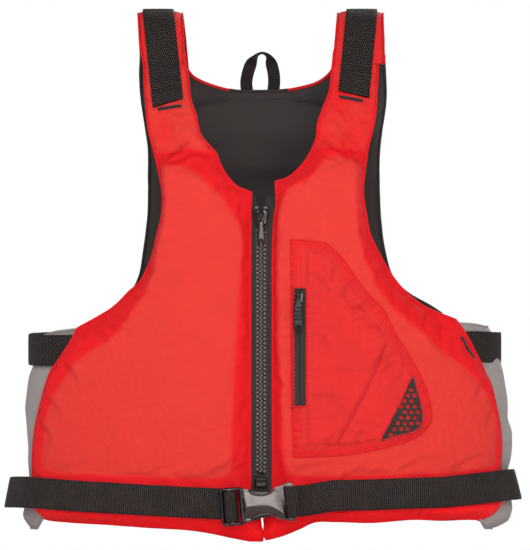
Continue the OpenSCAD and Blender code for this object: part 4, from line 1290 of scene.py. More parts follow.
def yoke(side):
    """padded cover over one shoulder, red outside and lined beneath"""
    sign = SIDES[side]
    start, end = arc_front(393.5), arc_back(391.0)
    stations = np.linspace(start, end, 60)
    us = np.linspace(-1, 1, 19)
    under = us[::-1][1:-1]
    thickness = 8.6

    def span(s):
        """inner and outer edge"""
        table = (YOKE_FRONT if s < APEX_S else YOKE_BACK)[side]
        z = profile(s)[1]
        return lookup(z, table, 1), lookup(z, table, 2)

    def crown(u):
        return -0.1 + 2.1 * np.abs(u) ** 4.0

    rings = []
    for s in stations:
        inner, outer = span(s)
        drift, spread = YOKE_CORNER[side]
        outer -= drift * math.exp(-(s - start) / spread)
        middle, half = (inner + outer) / 2, (outer - inner) / 2
        squeeze = 1 - 0.75 * math.exp(-min(s - start, end - s) / 1.6)
        pucker = noise(s / 7.0, 0.5 if side == "right" else 9.5, 31, 2)
        top = crown(us) - 0.3 * np.cos(us * 2.0)
        top += (0.5 * noise(s / 11.0, us * 2.2 + 4 * (side == "left"), 41, 3)
                * (1 - np.abs(us) ** 6))
        top = 3.9 + (top - 3.9) * (0.55 + 0.45 * squeeze)
        low = (thickness - 3.9 * np.abs(under) ** 2.6
               + 0.5 * noise(s / 9.0, under * 2 + 9.0, 43, 2))
        low = 4.1 + (low - 4.1) * squeeze
        x = np.concatenate([middle + half * us * (1 + 0.006 * pucker), middle + half * under])
        rings.append(surf(sign * x, s, np.concatenate([top, low])))
    rings = np.array(rings)
    n, k = rings.shape[:2]
    faces = ring_faces(n, k)
    faces += [tuple(range(k - 1, -1, -1)), tuple((n - 1) * k + j for j in range(k))]
    if sign < 0:
        faces = [f[::-1] for f in faces]
    slots = [0 if j < 18 else 1 for _ in range(n - 1) for j in range(k)] + [1, 1]
    cover = new_obj("shoulder_yoke_%s_cover" % side, rings.reshape(-1, 3), faces, MAT["red"])
    cover.data.materials.append(MAT["lining"])
    cover.data.polygons.foreach_set("material_index", np.array(slots, np.int32))
    set_uv(cover, np.tile(np.arange(k) * 2.3, n), np.repeat(stations, k))
    set_attr(cover, "face", -0.9)
    bake_subdivision(cover)
    parts = [cover]
    for edge in (0, 18):
        parts.append(tube(rings[:, edge], 0.85, MAT["red"]))
        set_attr(parts[-1], "face", ROLL_TONE)
    # stitches along the two end hems
    row = np.linspace(-0.86, 0.86, 30)
    for s in (start + 3.2, end - 3.2):
        inner, outer = span(s)
        x = sign * ((inner + outer) / 2 + (outer - inner) / 2 * row)
        parts.append(stitches(surf(x, s, crown(row) - 0.35), outward(x, s),
                              MAT["thread_red"], sink=0.0))
    blend_round(join("shoulder_yoke_%s_cover" % side, parts), side, SHOULDER_BLEND,
                "shell_nylon", "shoulder_yoke_" + side)


# ------------------------------------------------------------------ shoulder webbing
# x at the shoulder top, x and z at the front end, slant of that end
SHOULDER_WEB = {"right": (-84.9, -76.4, 360.0, 0.20), "left": (83.2, 76.2, 367.2, -0.15)}


def shoulder_web(side):
    top_x, end_x, end_z, skew = SHOULDER_WEB[side]
    back_x, back_z = SIDES[side] * 80.5, 364
    path, across = [], []
    for s in np.linspace(arc_front(end_z), arc_back(364.0), 150):
        z = profile(s)[1]
        if s < APEX_S:
            x = np.interp(z, [end_z, TOP_Z], [end_x, top_x])
            face, on_yoke = FACE[side](x, s)[0] - 1.0, ease(386, 396, z)
        else:
            x = np.interp(z, [back_z, TOP_Z], [back_x, top_x])
            face, on_yoke = FACE["back"](x, s)[0] - 1.0, ease(383, 393, z)
        depth = face + (-0.85 - face) * on_yoke + 0.12 * noise(s / 14.0, 0.4, 51, 2)
        path.append(surf(x, s, depth))
        across.append(surf(x + 1.0, s, depth) - surf(x - 1.0, s, depth))
    name = "shoulder_webbing_%s_strip" % side
    strip = ribbon(name, path, across, 25.4, 1.7, MAT["web"], m=11, skew=skew)
    i = len(path) - 6
    tack = strap_tack(np.array(path), i, across[i] / np.linalg.norm(across[i]))
    blend_round(join(name, [strip, tack]), side, SHOULDER_BLEND, "webbing",
                "shoulder_webbing_front_" + side, "shoulder_webbing_back_" + side)


# ------------------------------------------------------------------ belt
# x, z of the belt's middle
BELT_Z = points("""-212 39.5  -205 39.7  -188 39.6  -140 36.8  -90 34.2  -34 31.2  0 31
    30 36.6  60 38.0  95 38.6  150 40.4  180 43.4  203 46.0  212 46.6""")
# x, y of the left half's turn through the buckle
BELT_TURN = points("""19.5 -101.2  19.7 -104.6  20.9 -108.4  24.2 -110.3  28.0 -110.0
    31.2 -106.8  34.0 -102.6  38.0 -100.0""")
BUCKLE_Z = 31.0
BUCKLE_SLOPE = 0.0875


def belt_half(side):
    """belt from the buckle round the side to the middle of the back"""
    sign = SIDES[side]
    right = side == "right"

    def around(x, y):
        depth = np.maximum(0.02, 1 - (np.abs(x) / 209.2) ** OVAL_POWER) ** (1 / OVAL_POWER)
        return np.stack([sign * x, y * depth], 1)

    front = around(np.linspace(23 if right else 30, 203, 70), -99.4)
    back = around(np.linspace(203, 0, 90), 106.6)
    widest = 206.0 if right else 209.0
    flank = np.array([(sign * (widest + out), y) for out, y in
                      ((0, -30), (1.6, -12), (1.8, 6), (1.0, 24), (-1.5, 40))])
    if not right:
        front = np.concatenate([BELT_TURN, front[front[:, 0] > 43]])
    pts = np.concatenate([front[np.abs(front[:, 0]) < 197], flank,
                          back[np.abs(back[:, 0]) < 197]])
    kept = 0 if right else 9
    curve = resample(catmull(np.concatenate([pts[:kept], pts[kept::2]]), 6), 1.6)
    x, y = curve.T
    length = arclen(curve)
    z = lookup(sign * np.minimum(np.abs(x), 206), BELT_Z)
    if not right:
        rise = lookup(60.0, BELT_Z) - BUCKLE_Z - 60 * BUCKLE_SLOPE
        z = np.where(x < 60, BUCKLE_Z + x * BUCKLE_SLOPE + rise * ease(36, 60, x), z)
    rear = ease(58, 100, y) if right else ease(-20, 70, y)
    z = z * (1 - rear) + 45.5 * rear
    z = z + 0.5 * noise(length / 60, sign, 61, 2) * ease(0, 30, length)

    across = np.tile([0, 0, 1.0], (len(curve), 1))
    nx, ny = np.gradient(y), -np.gradient(x)
    # the lower edge flares a little at the side
    flare = bell(y + 5, 55) * (np.abs(x) > 120) * (0.20 if right else 0.26)
    across[:, 0] -= flare * np.sign(x) * np.abs(nx / np.hypot(nx, ny))
    clear = ease(30, 60, length)
    across[:, 1] += 0.10 * noise(length / 45, 2 + sign, 62, 2) * clear
    across[:, 0] -= 0.087 * (1 - clear) * np.where(y < 0, 1, 0) * (0.5 if right else 1)
    strip = ribbon("belt_%s_strip" % side, np.stack([x, y, z], 1), across, 25.2, 1.7,
                   MAT["belt"], m=11)
    blend_round(strip, side, ((0, 0.03, 0.04), (0, -0.04, 0.04)), "webbing",
                "belt_front_" + side, "belt_back")


for side in SIDES:
    yoke(side)
    shoulder_web(side)
    belt_half(side)

# ------------------------------------------------------------------ grey side panels
STRAP_Z = {"right": 157.2, "left": 159.6}   # front end of the side straps
STRAP_BACK_Z = 158.5
# z, outermost distance from the middle
SIDE_REACH = {
    "right": points("""8 188  12 192  20 197  35 196  50 192.5  75 192  90 193.5  110 194
        128 192  144 189  160 186  170 181  176 170"""),
    "left": points("""10 190  15 203  28 208  45 207  58 204.5  70 206.0  90 205.6
        100 202  118 202.3  146 197.5  165 193  172 186  178 176""")}
# z, distance of the front and back joins from the middle
SIDE_FRONT_X = points("10 182  50 189  90 189  118 183  135 175  150 168  172 154")
SIDE_BACK_X = points("0 160  20 166  60 171  120 171  150 163  172 150")
# rise of the top edge, and share of its dip
SIDE_TOP = {"right": (3.0, 0.6), "left": (8.0, 0.3)}


def side_panel(side):
    """folded cloth between the front and the back"""
    sign = SIDES[side]
    zs = np.append(np.arange(10, 170, 3.4), 171.5)
    n, m = len(zs), 46
    u = np.linspace(0, 1, m)
    rise, dip = SIDE_TOP[side]
    grid = np.zeros((n, m, 3))
    for i, z in enumerate(zs):
        reach = lookup(z, SIDE_REACH[side])
        fx, fy, _ = surf(lookup(z, SIDE_FRONT_X), arc_front(z),
                         9.0 + 4.0 * math.exp(-((z - 158) / 18) ** 4))
        bx, by, _ = surf(lookup(z, SIDE_BACK_X), arc_back(z), 10.0)
        control = [(fx - 6, fy - 4), (fx + 0.4 * (reach - fx), fy + 8),
                   (reach - 1.2, fy + 26), (reach, fy * 0.25 + 0.25 * by),
                   (reach - 1.5, by * 0.45), (0.5 * (reach + bx) + 4.5, by - 14),
                   (bx, by), (bx - 8, by + 3.5)]
        curve = resample(catmull(control, 10), n=m)
        grid[i, :, 0] = sign * curve[:, 0]
        grid[i, :, 1] = curve[:, 1]
        grid[i, :, 2] = z + ease(120, 172, z) * (rise - 8.0 * np.sin(np.pi * u) ** 1.5 * dip)
        grid[i, :, 2] += (1 - ease(10, 44, z)) * (12.0 * (1 - ease(0.05, 0.17, u))
                                                  + 12.0 * ease(0.5, 0.8, u))
    normal = np.cross(np.gradient(grid, axis=0), np.gradient(grid, axis=1))
    normal /= np.linalg.norm(normal, axis=2, keepdims=True) + 1e-9
    way = np.sign(normal[..., 0] * sign)
    normal *= np.where(way == 0, 1, way)[..., None]
    # folds, calmed and pushed in under the belt and the strap
    U, Z = np.meshgrid(u, zs)
    seed = 71 if side == "right" else 73
    belt = Z - lookup(sign * 195, BELT_Z)
    fold = (2.6 * noise(U * 7.5, Z / 75, seed, 2) + 1.5 * noise(U * 10, Z / 22, seed + 1, 3)
            + 1.3 * np.sin(U * 22 + 1.4 * noise(U * 2, Z / 40, seed + 2, 2) * 3)
            * ease(60, 20, Z))
    calm = 1 - 0.9 * np.exp(-(belt / 15) ** 4) - 0.9 * np.exp(-((Z - 158) / 15) ** 4)
    calm = calm * (0.3 + 0.7 * ease(12, 34, Z))
    push = -2.4 * bell(belt, 16) - 2.6 * np.exp(-((Z - STRAP_Z[side]) / 16.5) ** 4)
    fade = np.sin(np.pi * np.clip(U, 0.02, 0.98)) ** 0.6
    grid = grid + normal * ((fold * 0.72 * calm + push) * fade)[..., None]
    grid[..., 0] = sign * np.minimum(sign * grid[..., 0], 212.0)

    verts = np.concatenate([grid.reshape(-1, 3), (grid - normal * 1.1).reshape(-1, 3)])
    name = "side_panel_%s_cloth" % side
    cloth = new_obj(name, verts, slab_faces(n, m, flip=sign < 0), MAT["grey"])
    set_uv(cloth, np.tile(arclen(grid[n // 2]), 2 * n), np.tile(np.repeat(zs, m), 2))
    bake_subdivision(cloth)
    # rolled hems and stitch lines, bottom and top
    parts = [cloth]
    for i in (0, n - 1):
        parts.append(tube(grid[i, 2:-2] - normal[i, 2:-2] * 0.5, 1.15, MAT["grey"]))
    for i in (2, n - 3):
        parts.append(stitches(grid[i, 3:-3] + normal[i, 3:-3] * 0.1, normal[i, 3:-3],
                              MAT["grey"], r=0.22))
    blend_round(join(name, parts), side, ((0, 0.040, 0.1), (0, -0.045, 0.1)), "side_cloth",
                "side_panel_" + side)


# ------------------------------------------------------------------ side straps
# distance from the middle, y, share of the widening
STRAP_PATH = [(169, -54.5, 0), (179.5, -45, 0.4), (186.6, -33, 0.7), (190.5, -18, 1),
              (191.2, 0, 1), (190, 20, 1), (186.0, 38, 0.7), (179.5, 56, 0), (170, 74, 0)]
STRAP_WIDENING = {"right": 0.0, "left": 0.032}


def side_strap(side):
    front_z = STRAP_Z[side]
    shift = 0 if side == "right" else 1
    control = [(x, surf(x, arc_front(front_z), depth)[1]) for x, depth in
               ((148.0, 9.6), (159.0, 9.0))]
    control += [(x * (1 + STRAP_WIDENING[side] * share), y) for x, y, share in STRAP_PATH]
    control += [(x, surf(x, arc_back(STRAP_BACK_Z), -1.6)[1])
                for x in (158.0, 146.0, 134.0, 122.0)]
    x, y = resample(catmull(control, 10), 2.0).T
    length = arclen(np.stack([x, y], 1))
    z = (np.interp(y, [-60, 60], [front_z, STRAP_BACK_Z])
         + 0.8 * noise(length / 40, 3 + shift, 81, 2))
    path = np.stack([SIDES[side] * x, y, z], 1)
    across = np.tile([0, 0.0, 1.0], (len(path), 1))
    across[:, 1] += 0.10 * noise(length / 35, 7 + shift, 82, 2)
    name = "side_strap_%s_strip" % side
    strip = ribbon(name, path, across, 25.2, 1.7, MAT["web"], m=11)
    tack = strap_tack(path, len(path) - 4, np.array([0, 0, 1.0]))
    blend_round(join(name, [strip, tack]), side, ((0, 0.035, 0.16), (0, -0.045, 0.16)),
                "webbing", "side_strap_" + side, "side_strap_end_" + side)


for side in SIDES:
    side_panel(side)
    side_strap(side)

# ------------------------------------------------------------------ pocket
# front-view x, z of the outline: top, outer curve with the bottom, inner side
POCKET_SEGMENTS = [points(text) for text in (
    "24.2 247.6  38.5 246.8  53.3 245.2",
    """53.3 245.2  66.4 232.9  77.9 216.5  90.2 200.9  100.9 190.2  110.7 170.6
    126.3 145.1  136.1 123.8  139.8 106.6  138.6 96.8  132.8 89.4  123.0 83.6
    111.5 79.5  75.4 72.2  50.0 70.1  26.2 69.3""",
    "26.2 69.3  25.0 116.4  24.4 198.4  24.2 247.6")]
WINDOW = smooth_ring(points("""124.6 135.3  128.4 125.5  132.0 112.3  133.2 102.5
    131.2 93.5  122.2 89.0  112.3 86.9  99.2 83.6  105.8 98.4  114.0 114.0"""), 8, 1.6)
WINDOW_CLOTH = to_cloth(WINDOW, -4.0)
# zip opening
ZIP_X0, ZIP_X1, ZIP_Z0, ZIP_Z1 = 26.2, 37.4, 111.0, 208.5
# dart, then the seams above and below the zip
POCKET_SEAMS = [points(text) for text in (
    "103.3 163.2  96.8 147.6  88.6 129.6  79.5 112.3  69.7 93.5  63.1 81.2",
    "38.5 242.7  37.9 223.0  37.6 211.6",
    "38.2 109.9  38.4 91.8  38.7 77.9")]
POCKET_CREASES = crease_table("""
2.0 1.1 0.8  110.7 155.8  100.9 150.9  92.7 144.3  87.7 137.8
1.7 0.9 0.6  110.7 146.8  104.1 142.7  95.9 136.1
1.8 1.0 0.7  74.6 193.5  69.7 200.1  68.9 206.6
1.8 1.1 0.8  86.9 188.6  78.7 193.5  71.3 190.2
1.8 1.0 0.7  91.0 180.4  81.2 183.7  73.0 180.4
1.8 1.0 0.7  100.9 168.9  95.1 177.1  86.1 177.1
0.9 0.8 0.5  37.7 79.5  64.8 79.5  96.8 83.6
2.2 0.9 0.5  64.8 229.6  59.9 223.0  56.6 211.6
2.2 0.9 0.5  77.9 214.8  69.7 208.3  64.8 198.4
2.2 0.9 0.5  91.0 198.4  81.2 193.5  74.6 183.7
2.2 0.7 0.4  41.0 218.9  50.0 213.2  56.6 201.7
2.2 0.7 0.4  40.2 173.8  50.0 167.3  54.9 155.8
2.4 0.7 0.4  41.8 116.4  50.0 119.7  61.5 116.4
1.8 0.8 0.5  114.0 83.6  107.4 91.8  100.9 96.8
2.0 0.8 0.5  81.2 73.8  79.5 83.6  84.5 91.8
2.0 0.8 0.5  56.6 71.3  54.9 79.5  59.9 86.9
1.6 0.6 0.4  36.9 242.7  45.1 237.8  56.6 239.4
1.8 0.8 0.5  117.3 139.4  110.7 132.8  107.4 124.6
1.5 0.6 0.4  113.2 118.1  107.4 118.1  102.5 114.8
1.5 0.6 0.4  108.2 106.6  101.7 105.0  95.9 100.0
1.5 0.6 0.4  102.5 93.5  95.9 93.5  89.4 90.2
""")
TOPSTITCH = (1.6, 6.4)      # distances of the two rows from the pocket's edge


def pocket_height(pts, X, Z, d, around, window_d, zip_d, seam_d):
    """rise of the pocket cloth above the panel"""
    t, s = pts.T
    h = 0.75 + 3.9 * (1 - np.exp(-np.maximum(0, d - 3.0) / 11.0))
    inner = ease(40, 22, X)
    h = h * (1 - 0.55 * inner) + 1.2 * inner * np.minimum(1, d / 2)
    # the double topstitch draws the cloth in and puckers it
    for row, pull in zip(TOPSTITCH, (0.35, 1.0)):
        h -= pull * bell(d - row, 0.7)
    phase = noise(around / 15, 0.5, 93, 2)
    h += (1.3 * np.exp(-d / 6.5) * np.sin(2 * np.pi * (around / 6.6 + 0.8 * phase))
          * np.minimum(1, d / 1.2) * (0.45 + noise(around / 24, 5, 94, 2)))
    h += (0.8 * noise(t / 40, s / 46, 91, 3) * np.minimum(1, d / 15)
          + 0.08 * noise(t / 11, s / 13, 95, 3) * np.minimum(1, d / 7))
    # lines beside the zip
    h -= (0.9 * bell(X - (ZIP_X1 + 3.4), 0.8) * ease(ZIP_Z0 - 40, ZIP_Z0 - 36, Z)
          + 0.5 * bell(X - (ZIP_X0 - 1.9), 0.6))
    h += 0.5 * bell(X - (ZIP_X1 + 1.6), 1.4)
    h -= 1.5 * creases(POCKET_CREASES, X, Z)
    h -= 1.5 * bell(seam_d, 1.3) - 0.5 * bell(seam_d - 3.4, 1.8)
    # raised rims round the zip opening and the mesh window
    h = np.where(zip_d < 5, h + (2.6 - h) * np.exp(-zip_d / 3.0), h)
    h = np.where(window_d < 4, h + (2.9 - h) * 0.7 * np.exp(-window_d / 2.4), h)
    return np.where(d < 1e-6, 0.1, np.maximum(h, 0.35))


def pocket():
    outline = np.concatenate([resample(catmull(p, 10), 2.0)[:-1] for p in POCKET_SEGMENTS])
    loop = resample(close(to_cloth(outline, -0.5)), 1.7)[:-1]
    opening = to_cloth(rect_path(ZIP_X0, ZIP_X1, ZIP_Z0, ZIP_Z1, 1.8)[:-1], -2.5)
    seams = [to_cloth(resample(catmull(p, 8), 1.6), -3.5) for p in POCKET_SEAMS]
    pts, tris = fill(loop, 2.1, holes=[WINDOW_CLOTH, opening], extra=seams)
    seam_d = np.min([distance(pts, p, False) for p in seams], 0)
    x, s = x_of_t(pts[:, 0]), pts[:, 1]
    d, _, _, around = along_loop(pts, loop)
    window_d, zip_d = distance(pts, WINDOW_CLOTH), distance(pts, opening)
    place = surf(x, s, -2.0)
    X, Z = place[:, 0], place[:, 2]
    h = pocket_height(pts, X, Z, d, around, window_d, zip_d, seam_d)
    cloth = new_obj("pocket_cloth", surf(x, s, FACE["left"](x, s) - h), tris, MAT["pocket"])
    set_uv(cloth, pts[:, 0], s)
    set_attr(cloth, "face", np.clip(d - 6.5, -12, 12))
    # painted shade along the seams, the dart and the creases; the lines below add painted shade along the
    # topstitch rows, beside the zip opening and at the pocket's edge
    painted_shade = np.maximum(0.75 * bell(seam_d, 0.9) * np.where(X < 44, 0.5, 1.0),
                      np.clip(0.45 * creases(POCKET_CREASES, X, Z, shade_marks=True), 0, 0.6))
    rows = np.maximum(bell(d - TOPSTITCH[0], 0.8), 0.8 * bell(d - TOPSTITCH[1], 0.9))
    set_attr(cloth, "seam", np.clip(np.maximum(painted_shade, 0.24 * rows)
                                    + 0.3 * np.exp(-zip_d / 0.9) * (zip_d > 0)
                                    + 0.1 * np.exp(-d / 0.5), 0, 1))
    rim = (d < 1e-6) | (window_d < 1e-6) | (zip_d < 1e-6)
    near = (d < 7.5) | (window_d < 4) | (zip_d < 6) | (seam_d < 3)
    pin = np.where(rim | (seam_d < 0.3), 1.0, np.where(near, 0.55, 0.10))
    settle(cloth, pin, shrink=-0.014, pressure=0.8, bend=0.5, cap=2.2)

    verts = vertex_coords(cloth.data) / MM
    tree = kd_tree(pts)
    parts = [cloth]
    for ring, r in ((WINDOW_CLOTH, 0.75), (opening, 0.7), (loop, 0.55)):
        nearest = [tree.find((q[0], q[1], 0))[1] for q in ring]
        parts.append(tube(verts[nearest], r, MAT["pocket"], closed=True, seg=7))
        set_attr(parts[-1], "face", ROLL_TONE)
    bake_subdivision(cloth)

    depth_at = interpolator(pts, depth_of(verts, x, s), count=3, soft=0.2)

    def sew(row, r, closed=True):
        """stitches on the finished cloth along a t, s row"""
        depth = depth_at(row[:, 0], row[:, 1])
        row_x = x_of_t(row[:, 0])
        path, normal = surf(row_x, row[:, 1], depth), outward(row_x, row[:, 1], depth)
        if closed:
            path, normal = close(path), close(normal)
        parts.append(stitches(path, normal, MAT["thread_red"], r=r))

    inward = inward_normals(loop)
    for offset in TOPSTITCH:
        row = loop + inward * offset
        ok = distance(row, loop) > offset - 0.25
        # the row stops at the zip opening
        gap = inside(row, opening) | (distance(row, opening) < 1.3)
        if gap.any():
            turn = -(int(np.flatnonzero(gap & ~np.roll(gap, -1))[0]) + 1)
            sew(np.roll(row, turn, 0)[np.roll(ok & ~gap, turn)], 0.25, closed=False)
        else:
            sew(row[ok], 0.25)
    for ring, offset in ((WINDOW_CLOTH, 1.7), (opening, 1.5), (opening, 3.4)):
        row = ring - inward_normals(ring) * offset
        sew(row[(distance(row, ring) > offset - 0.3) & (distance(row, loop) > 1.0)
                & inside(row, loop)], 0.24)
    ride(join("pocket_cloth", parts), "front_left", "shell_nylon", "pocket_panel")


def drain_mesh():
    """sheet of round holes set just under the pocket's window"""
    centre = WINDOW.mean(0)
    loop = to_cloth(centre + (WINDOW - centre) * 1.04, -3.0)
    angle = np.arange(12) / 12 * 2 * math.pi
    hole = (np.stack([np.cos(angle) * 2.08, np.sin(angle) * 1.92], 1)
            * (1 + 0.06 * np.cos(6 * angle))[:, None])
    pitch = 5.7
    low, high = loop.min(0), loop.max(0)
    holes = []
    row = 0
    v = low[1] + 1.0
    while v < high[1]:
        u = low[0] + (pitch / 2 if row % 2 else 0)
        while u < high[0]:
            moved = np.array([u, v]) + rng.uniform(-0.15, 0.15, 2) + hole
            if (inside(moved, WINDOW_CLOTH).all()
                    and distance(moved, WINDOW_CLOTH).min() > 0.25):
                holes.append(moved)
            u += pitch
        v += pitch * 0.81
        row += 1
    pts, tris = fill(loop, 1.5, holes=holes)
    x, s = x_of_t(pts[:, 0]), pts[:, 1]
    window_d = np.where(inside(pts, WINDOW_CLOTH), distance(pts, WINDOW_CLOTH), 0)
    hole_d = np.full(len(pts), 9.0)
    for ring in holes:
        hole_d = np.minimum(hole_d, distance(pts, ring))
    depth = (FACE["left"](x, s) - 2.3 - 0.9 * (1 - np.exp(-window_d / 5.0))
             - 0.35 * noise(pts[:, 0] / 8, s / 8, 97, 2) - 0.28 * np.minimum(1, hole_d / 0.7))
    verts = np.concatenate([surf(x, s, depth), surf(x, s, depth + 0.8)])
    sheet = new_obj("pocket_drain_mesh", verts, sheet_pair_faces(tris, len(pts)), MAT["mesh"])
    set_uv(sheet, np.tile(pts[:, 0], 2), np.tile(s, 2))
    set_attr(sheet, "face", 0.0)
    ride(sheet, "front_left", "mesh_plastic", "pocket_mesh")


pocket()
drain_mesh()

# ------------------------------------------------------------------ main zip
ZIP_Y = -87.0
TAPE_Y = -86.9
TAPE_OUTER = 11.5
TOOTH_PITCH = 3.5
TOOTH = np.array([
    (4.3, -1.25), (4.3, 1.25), (2.2, 1.25), (1.7, 0.62), (0.75, 0.5), (0.15, 1.1),
    (-0.9, 1.12), (-1.75, 0.55), (-1.9, 0.0), (-1.75, -0.55), (-0.9, -1.12), (0.15, -1.1),
    (0.75, -0.5), (1.7, -0.62), (2.2, -1.25)])


def tape(x0, x1, z0, z1, y, wavy=0.25, flare=0.0, seed=101):
    """woven zip tape with a cord along its x0 edge; flare spreads its top end, which is darkened with
    painted shadow
    """
    zs = np.arange(z0, z1 + 0.01, 1.6)
    us = np.linspace(0, 1, 9)
    z, u = np.meshgrid(zs, us, indexing="ij")
    wave = wavy * noise(z / 9.0, u * 2.0, seed, 2) * (0.3 + 0.7 * u)
    x = x0 + (x1 - x0) * u + flare * ease(268, 288, z) * (1 - 0.3 * u)
    front = np.stack([x, y + wave - 0.25 * bell(u - 0.10, 0.08), z], -1).reshape(-1, 3)
    obj = new_obj("part", np.concatenate([front, front + [0, 0.8, 0]]),
                  slab_faces(len(zs), len(us), flip=x1 < x0), MAT["tape"])
    set_uv(obj, np.tile(front[:, 0], 2), np.tile(front[:, 2], 2))
    # painted shadow: the tape darkens towards its top, under the slider and the neck
    set_attr(obj, "seam", np.tile(1.4 * ease(262, 276, front[:, 2]), 2))
    return obj


def zip_tape(side):
    sign = SIDES[side]
    flare = sign * 3.2
    parts = [tape(sign * 2.0, sign * TAPE_OUTER, 53.4 if sign < 0 else 34.0, 284.0, TAPE_Y,
                  flare=flare, seed=101 + (sign > 0))]
    # the foot of the tape beside and over the box
    parts.append(tape(sign * 0.12, sign * 2.4, 53.4 if sign > 0 else 54.15, 56.4, -86.75,
                      wavy=0.0))
    if sign < 0:
        parts.append(tape(-5.3, -TAPE_OUTER, 34.0, 56.5, -86.6, wavy=0.1, seed=106))
    else:
        parts.append(tape(-5.2, 2.4, 34.0, 45.3, TAPE_Y, wavy=0.0))
        parts.append(tape(-5.2, 2.4, 50.9, 54.1, -86.6, wavy=0.0))
    z = np.arange(54, 280, 2.0)
    path = np.stack([sign * 7.4 + flare * ease(268, 288, z) * 0.8,
                     np.full(len(z), -87.15), z], 1)
    parts.append(stitches(path, (0, -1, 0), MAT["thread"], r=0.2))
    ride(join("zip_tape_%s_cloth" % side, parts), "front_" + side, "zip_tape",
         "zip_tape_" + side)


def zip_teeth(side):
    """one tooth, copied up the zip; the sides interleave by half a pitch"""
    sign = SIDES[side]
    outline = TOOTH if sign > 0 else (TOOTH * (-1, 1))[::-1]
    tooth = solid(outline, lambda u, v, d: 2.15 - 0.75 * bell(u * sign - 0.85, 0.6), -2.15,
                  MAT["teeth"], h=0.62, r=0.55, name="tooth")
    one = vertex_coords(tooth.data) / MM
    one_faces = [tuple(p.vertices) for p in tooth.data.polygons]
    bpy.data.objects.remove(tooth)
    first = 57.8 + (0 if sign > 0 else TOOTH_PITCH / 2)
    verts, faces = [], []
    for k, z in enumerate(np.arange(first, 256.5, TOOTH_PITCH)):
        verts.append(one + np.array([0, ZIP_Y, z]))
        faces += [tuple(q + k * len(one) for q in f) for f in one_faces]
    teeth = new_obj("zip_teeth_%s_moulded" % side, np.concatenate(verts), faces, MAT["teeth"])
    ride(sharpen(teeth, 50), "front_" + side, "zip_plastic", "zip_teeth_" + side)


for side in SIDES:
    zip_tape(side)
    zip_teeth(side)

# slider plate and pull tabs: u, v outlines
SHIELD = smooth_ring(points("""-4.6 -6.0  4.6 -6.0  5.7 -4.6  5.5 0.0  6.4 3.6  5.4 6.0
    2.2 6.3  0.9 4.9  -0.9 4.9  -2.2 6.3  -5.4 6.0  -6.4 3.6  -5.5 0.0  -5.7 -4.6"""), 6, 0.8)
PULL = points("""-1.9 3.2  1.9 3.2  2.9 1.5  3.1 -2.0  2.5 -6.0  2.9 -12.0  3.3 -17.5
    3.3 -21.0  2.3 -23.6  0 -24.4  -2.3 -23.6  -3.3 -21.0  -3.3 -17.5  -2.9 -12.0
    -2.5 -6.0  -3.1 -2.0  -2.9 1.5""")
POCKET_PULL = points("""-1.6 2.2  1.6 2.2  2.2 0.6  2.0 -2.0  3.1 -4.2  3.6 -8.0
    3.6 -24.5  2.8 -27.6  0 -28.6  -2.8 -27.6  -3.6 -24.5  -3.6 -8.0  -3.1 -4.2
    -2.0 -2.0  -2.2 0.6""")


def eyelet(v, ru, rv):
    angle = np.arange(20) / 20 * 2 * math.pi
    return np.stack([np.cos(angle) * ru, v + np.sin(angle) * rv], 1)


def main_slider():
    """two shield plates, a wedge between them and a bridge"""
    frame = facing(0, ZIP_Y, 266.4)
    metal = MAT["slider"]
    wedge = [(-1.1, 1.6), (1.1, 1.6), (0.5, 6.0), (-0.5, 6.0)]
    parts = [solid(SHIELD, lambda u, v, d: 4.9 - 0.02 * u * u, 2.75, metal, h=0.8, r=1.1,
                   rb=0.3, frame=frame),
             solid(SHIELD * 0.97, -2.75, -4.4, metal, h=0.9, r=0.3, rb=0.7, frame=frame),
             solid(wedge, 3.0, -3.0, metal, h=0.6, r=0.2, frame=frame)]
    bridge = [(0, -91.2, 270.9), (0, -93.6, 270.6), (0, -95.2, 269.0), (0, -95.4, 267.2),
              (0, -94.9, 265.2), (0, -93.4, 263.6), (0, -91.2, 263.0)]
    parts.append(tube(catmull(bridge, 6), 1.15, metal, seg=10, aspect=1.35, up=X_AXIS))
    ride(sharpen(join("zip_slider_body", parts), 45), "zip_slider", "slider_metal",
         "zip_slider")


def main_pull():
    def front(u, v, d):
        return 1.05 + 0.25 * bell(v + 8, 4.5) - 0.35 * bell(d, 0.9)
    tab = solid(smooth_ring(PULL, 6, 0.7), front, -0.95, MAT["slider"], h=0.7, r=0.6,
                holes=[eyelet(0.3, 1.45, 1.75), eyelet(-21.7, 1.6, 1.6)],
                frame=facing(0, -92.55, 267.45), name="zip_pull_tab")
    ride(sharpen(tab, 50), "zip_pull", "pull_plastic", "zip_pull")


def zip_box():
    outline = resample([(-4.9, -4.3), (4.9, -4.3), (5.1, 3.6), (3.6, 4.4), (-3.6, 4.4),
                        (-5.1, 3.6), (-4.9, -4.3)], 0.8)
    box = solid(outline, lambda u, v, d: 2.5 - 0.5 * bell(v, 1.2), -2.5, MAT["zipbox"], h=0.9,
                r=0.8, frame=facing(0, ZIP_Y, 48.5), name="zip_box_block")
    ride(box, "front_left", "zip_plastic", "zip_box")


def top_stop(side):
    sign = SIDES[side]
    clip = solid(rect_path(sign * 1.9, sign * 5.2, -1.4, 1.4, 0.6), 1.9, -1.6, MAT["teeth"],
                 h=0.7, r=0.6, frame=facing(sign * 0.2, ZIP_Y, 273.9),
                 name="zip_top_stop_%s_clip" % side)
    ride(clip, "front_" + side, "zip_plastic", "zip_top_stop_" + side)


main_slider()
main_pull()
zip_box()
for side in SIDES:
    top_stop(side)

# ------------------------------------------------------------------ pocket zip
POCKET_ZIP_X = (ZIP_X0 + ZIP_X1) / 2
POCKET_ZIP_Y = on_face("left", [(POCKET_ZIP_X, 160.0)])[0][0, 1] - 1.15


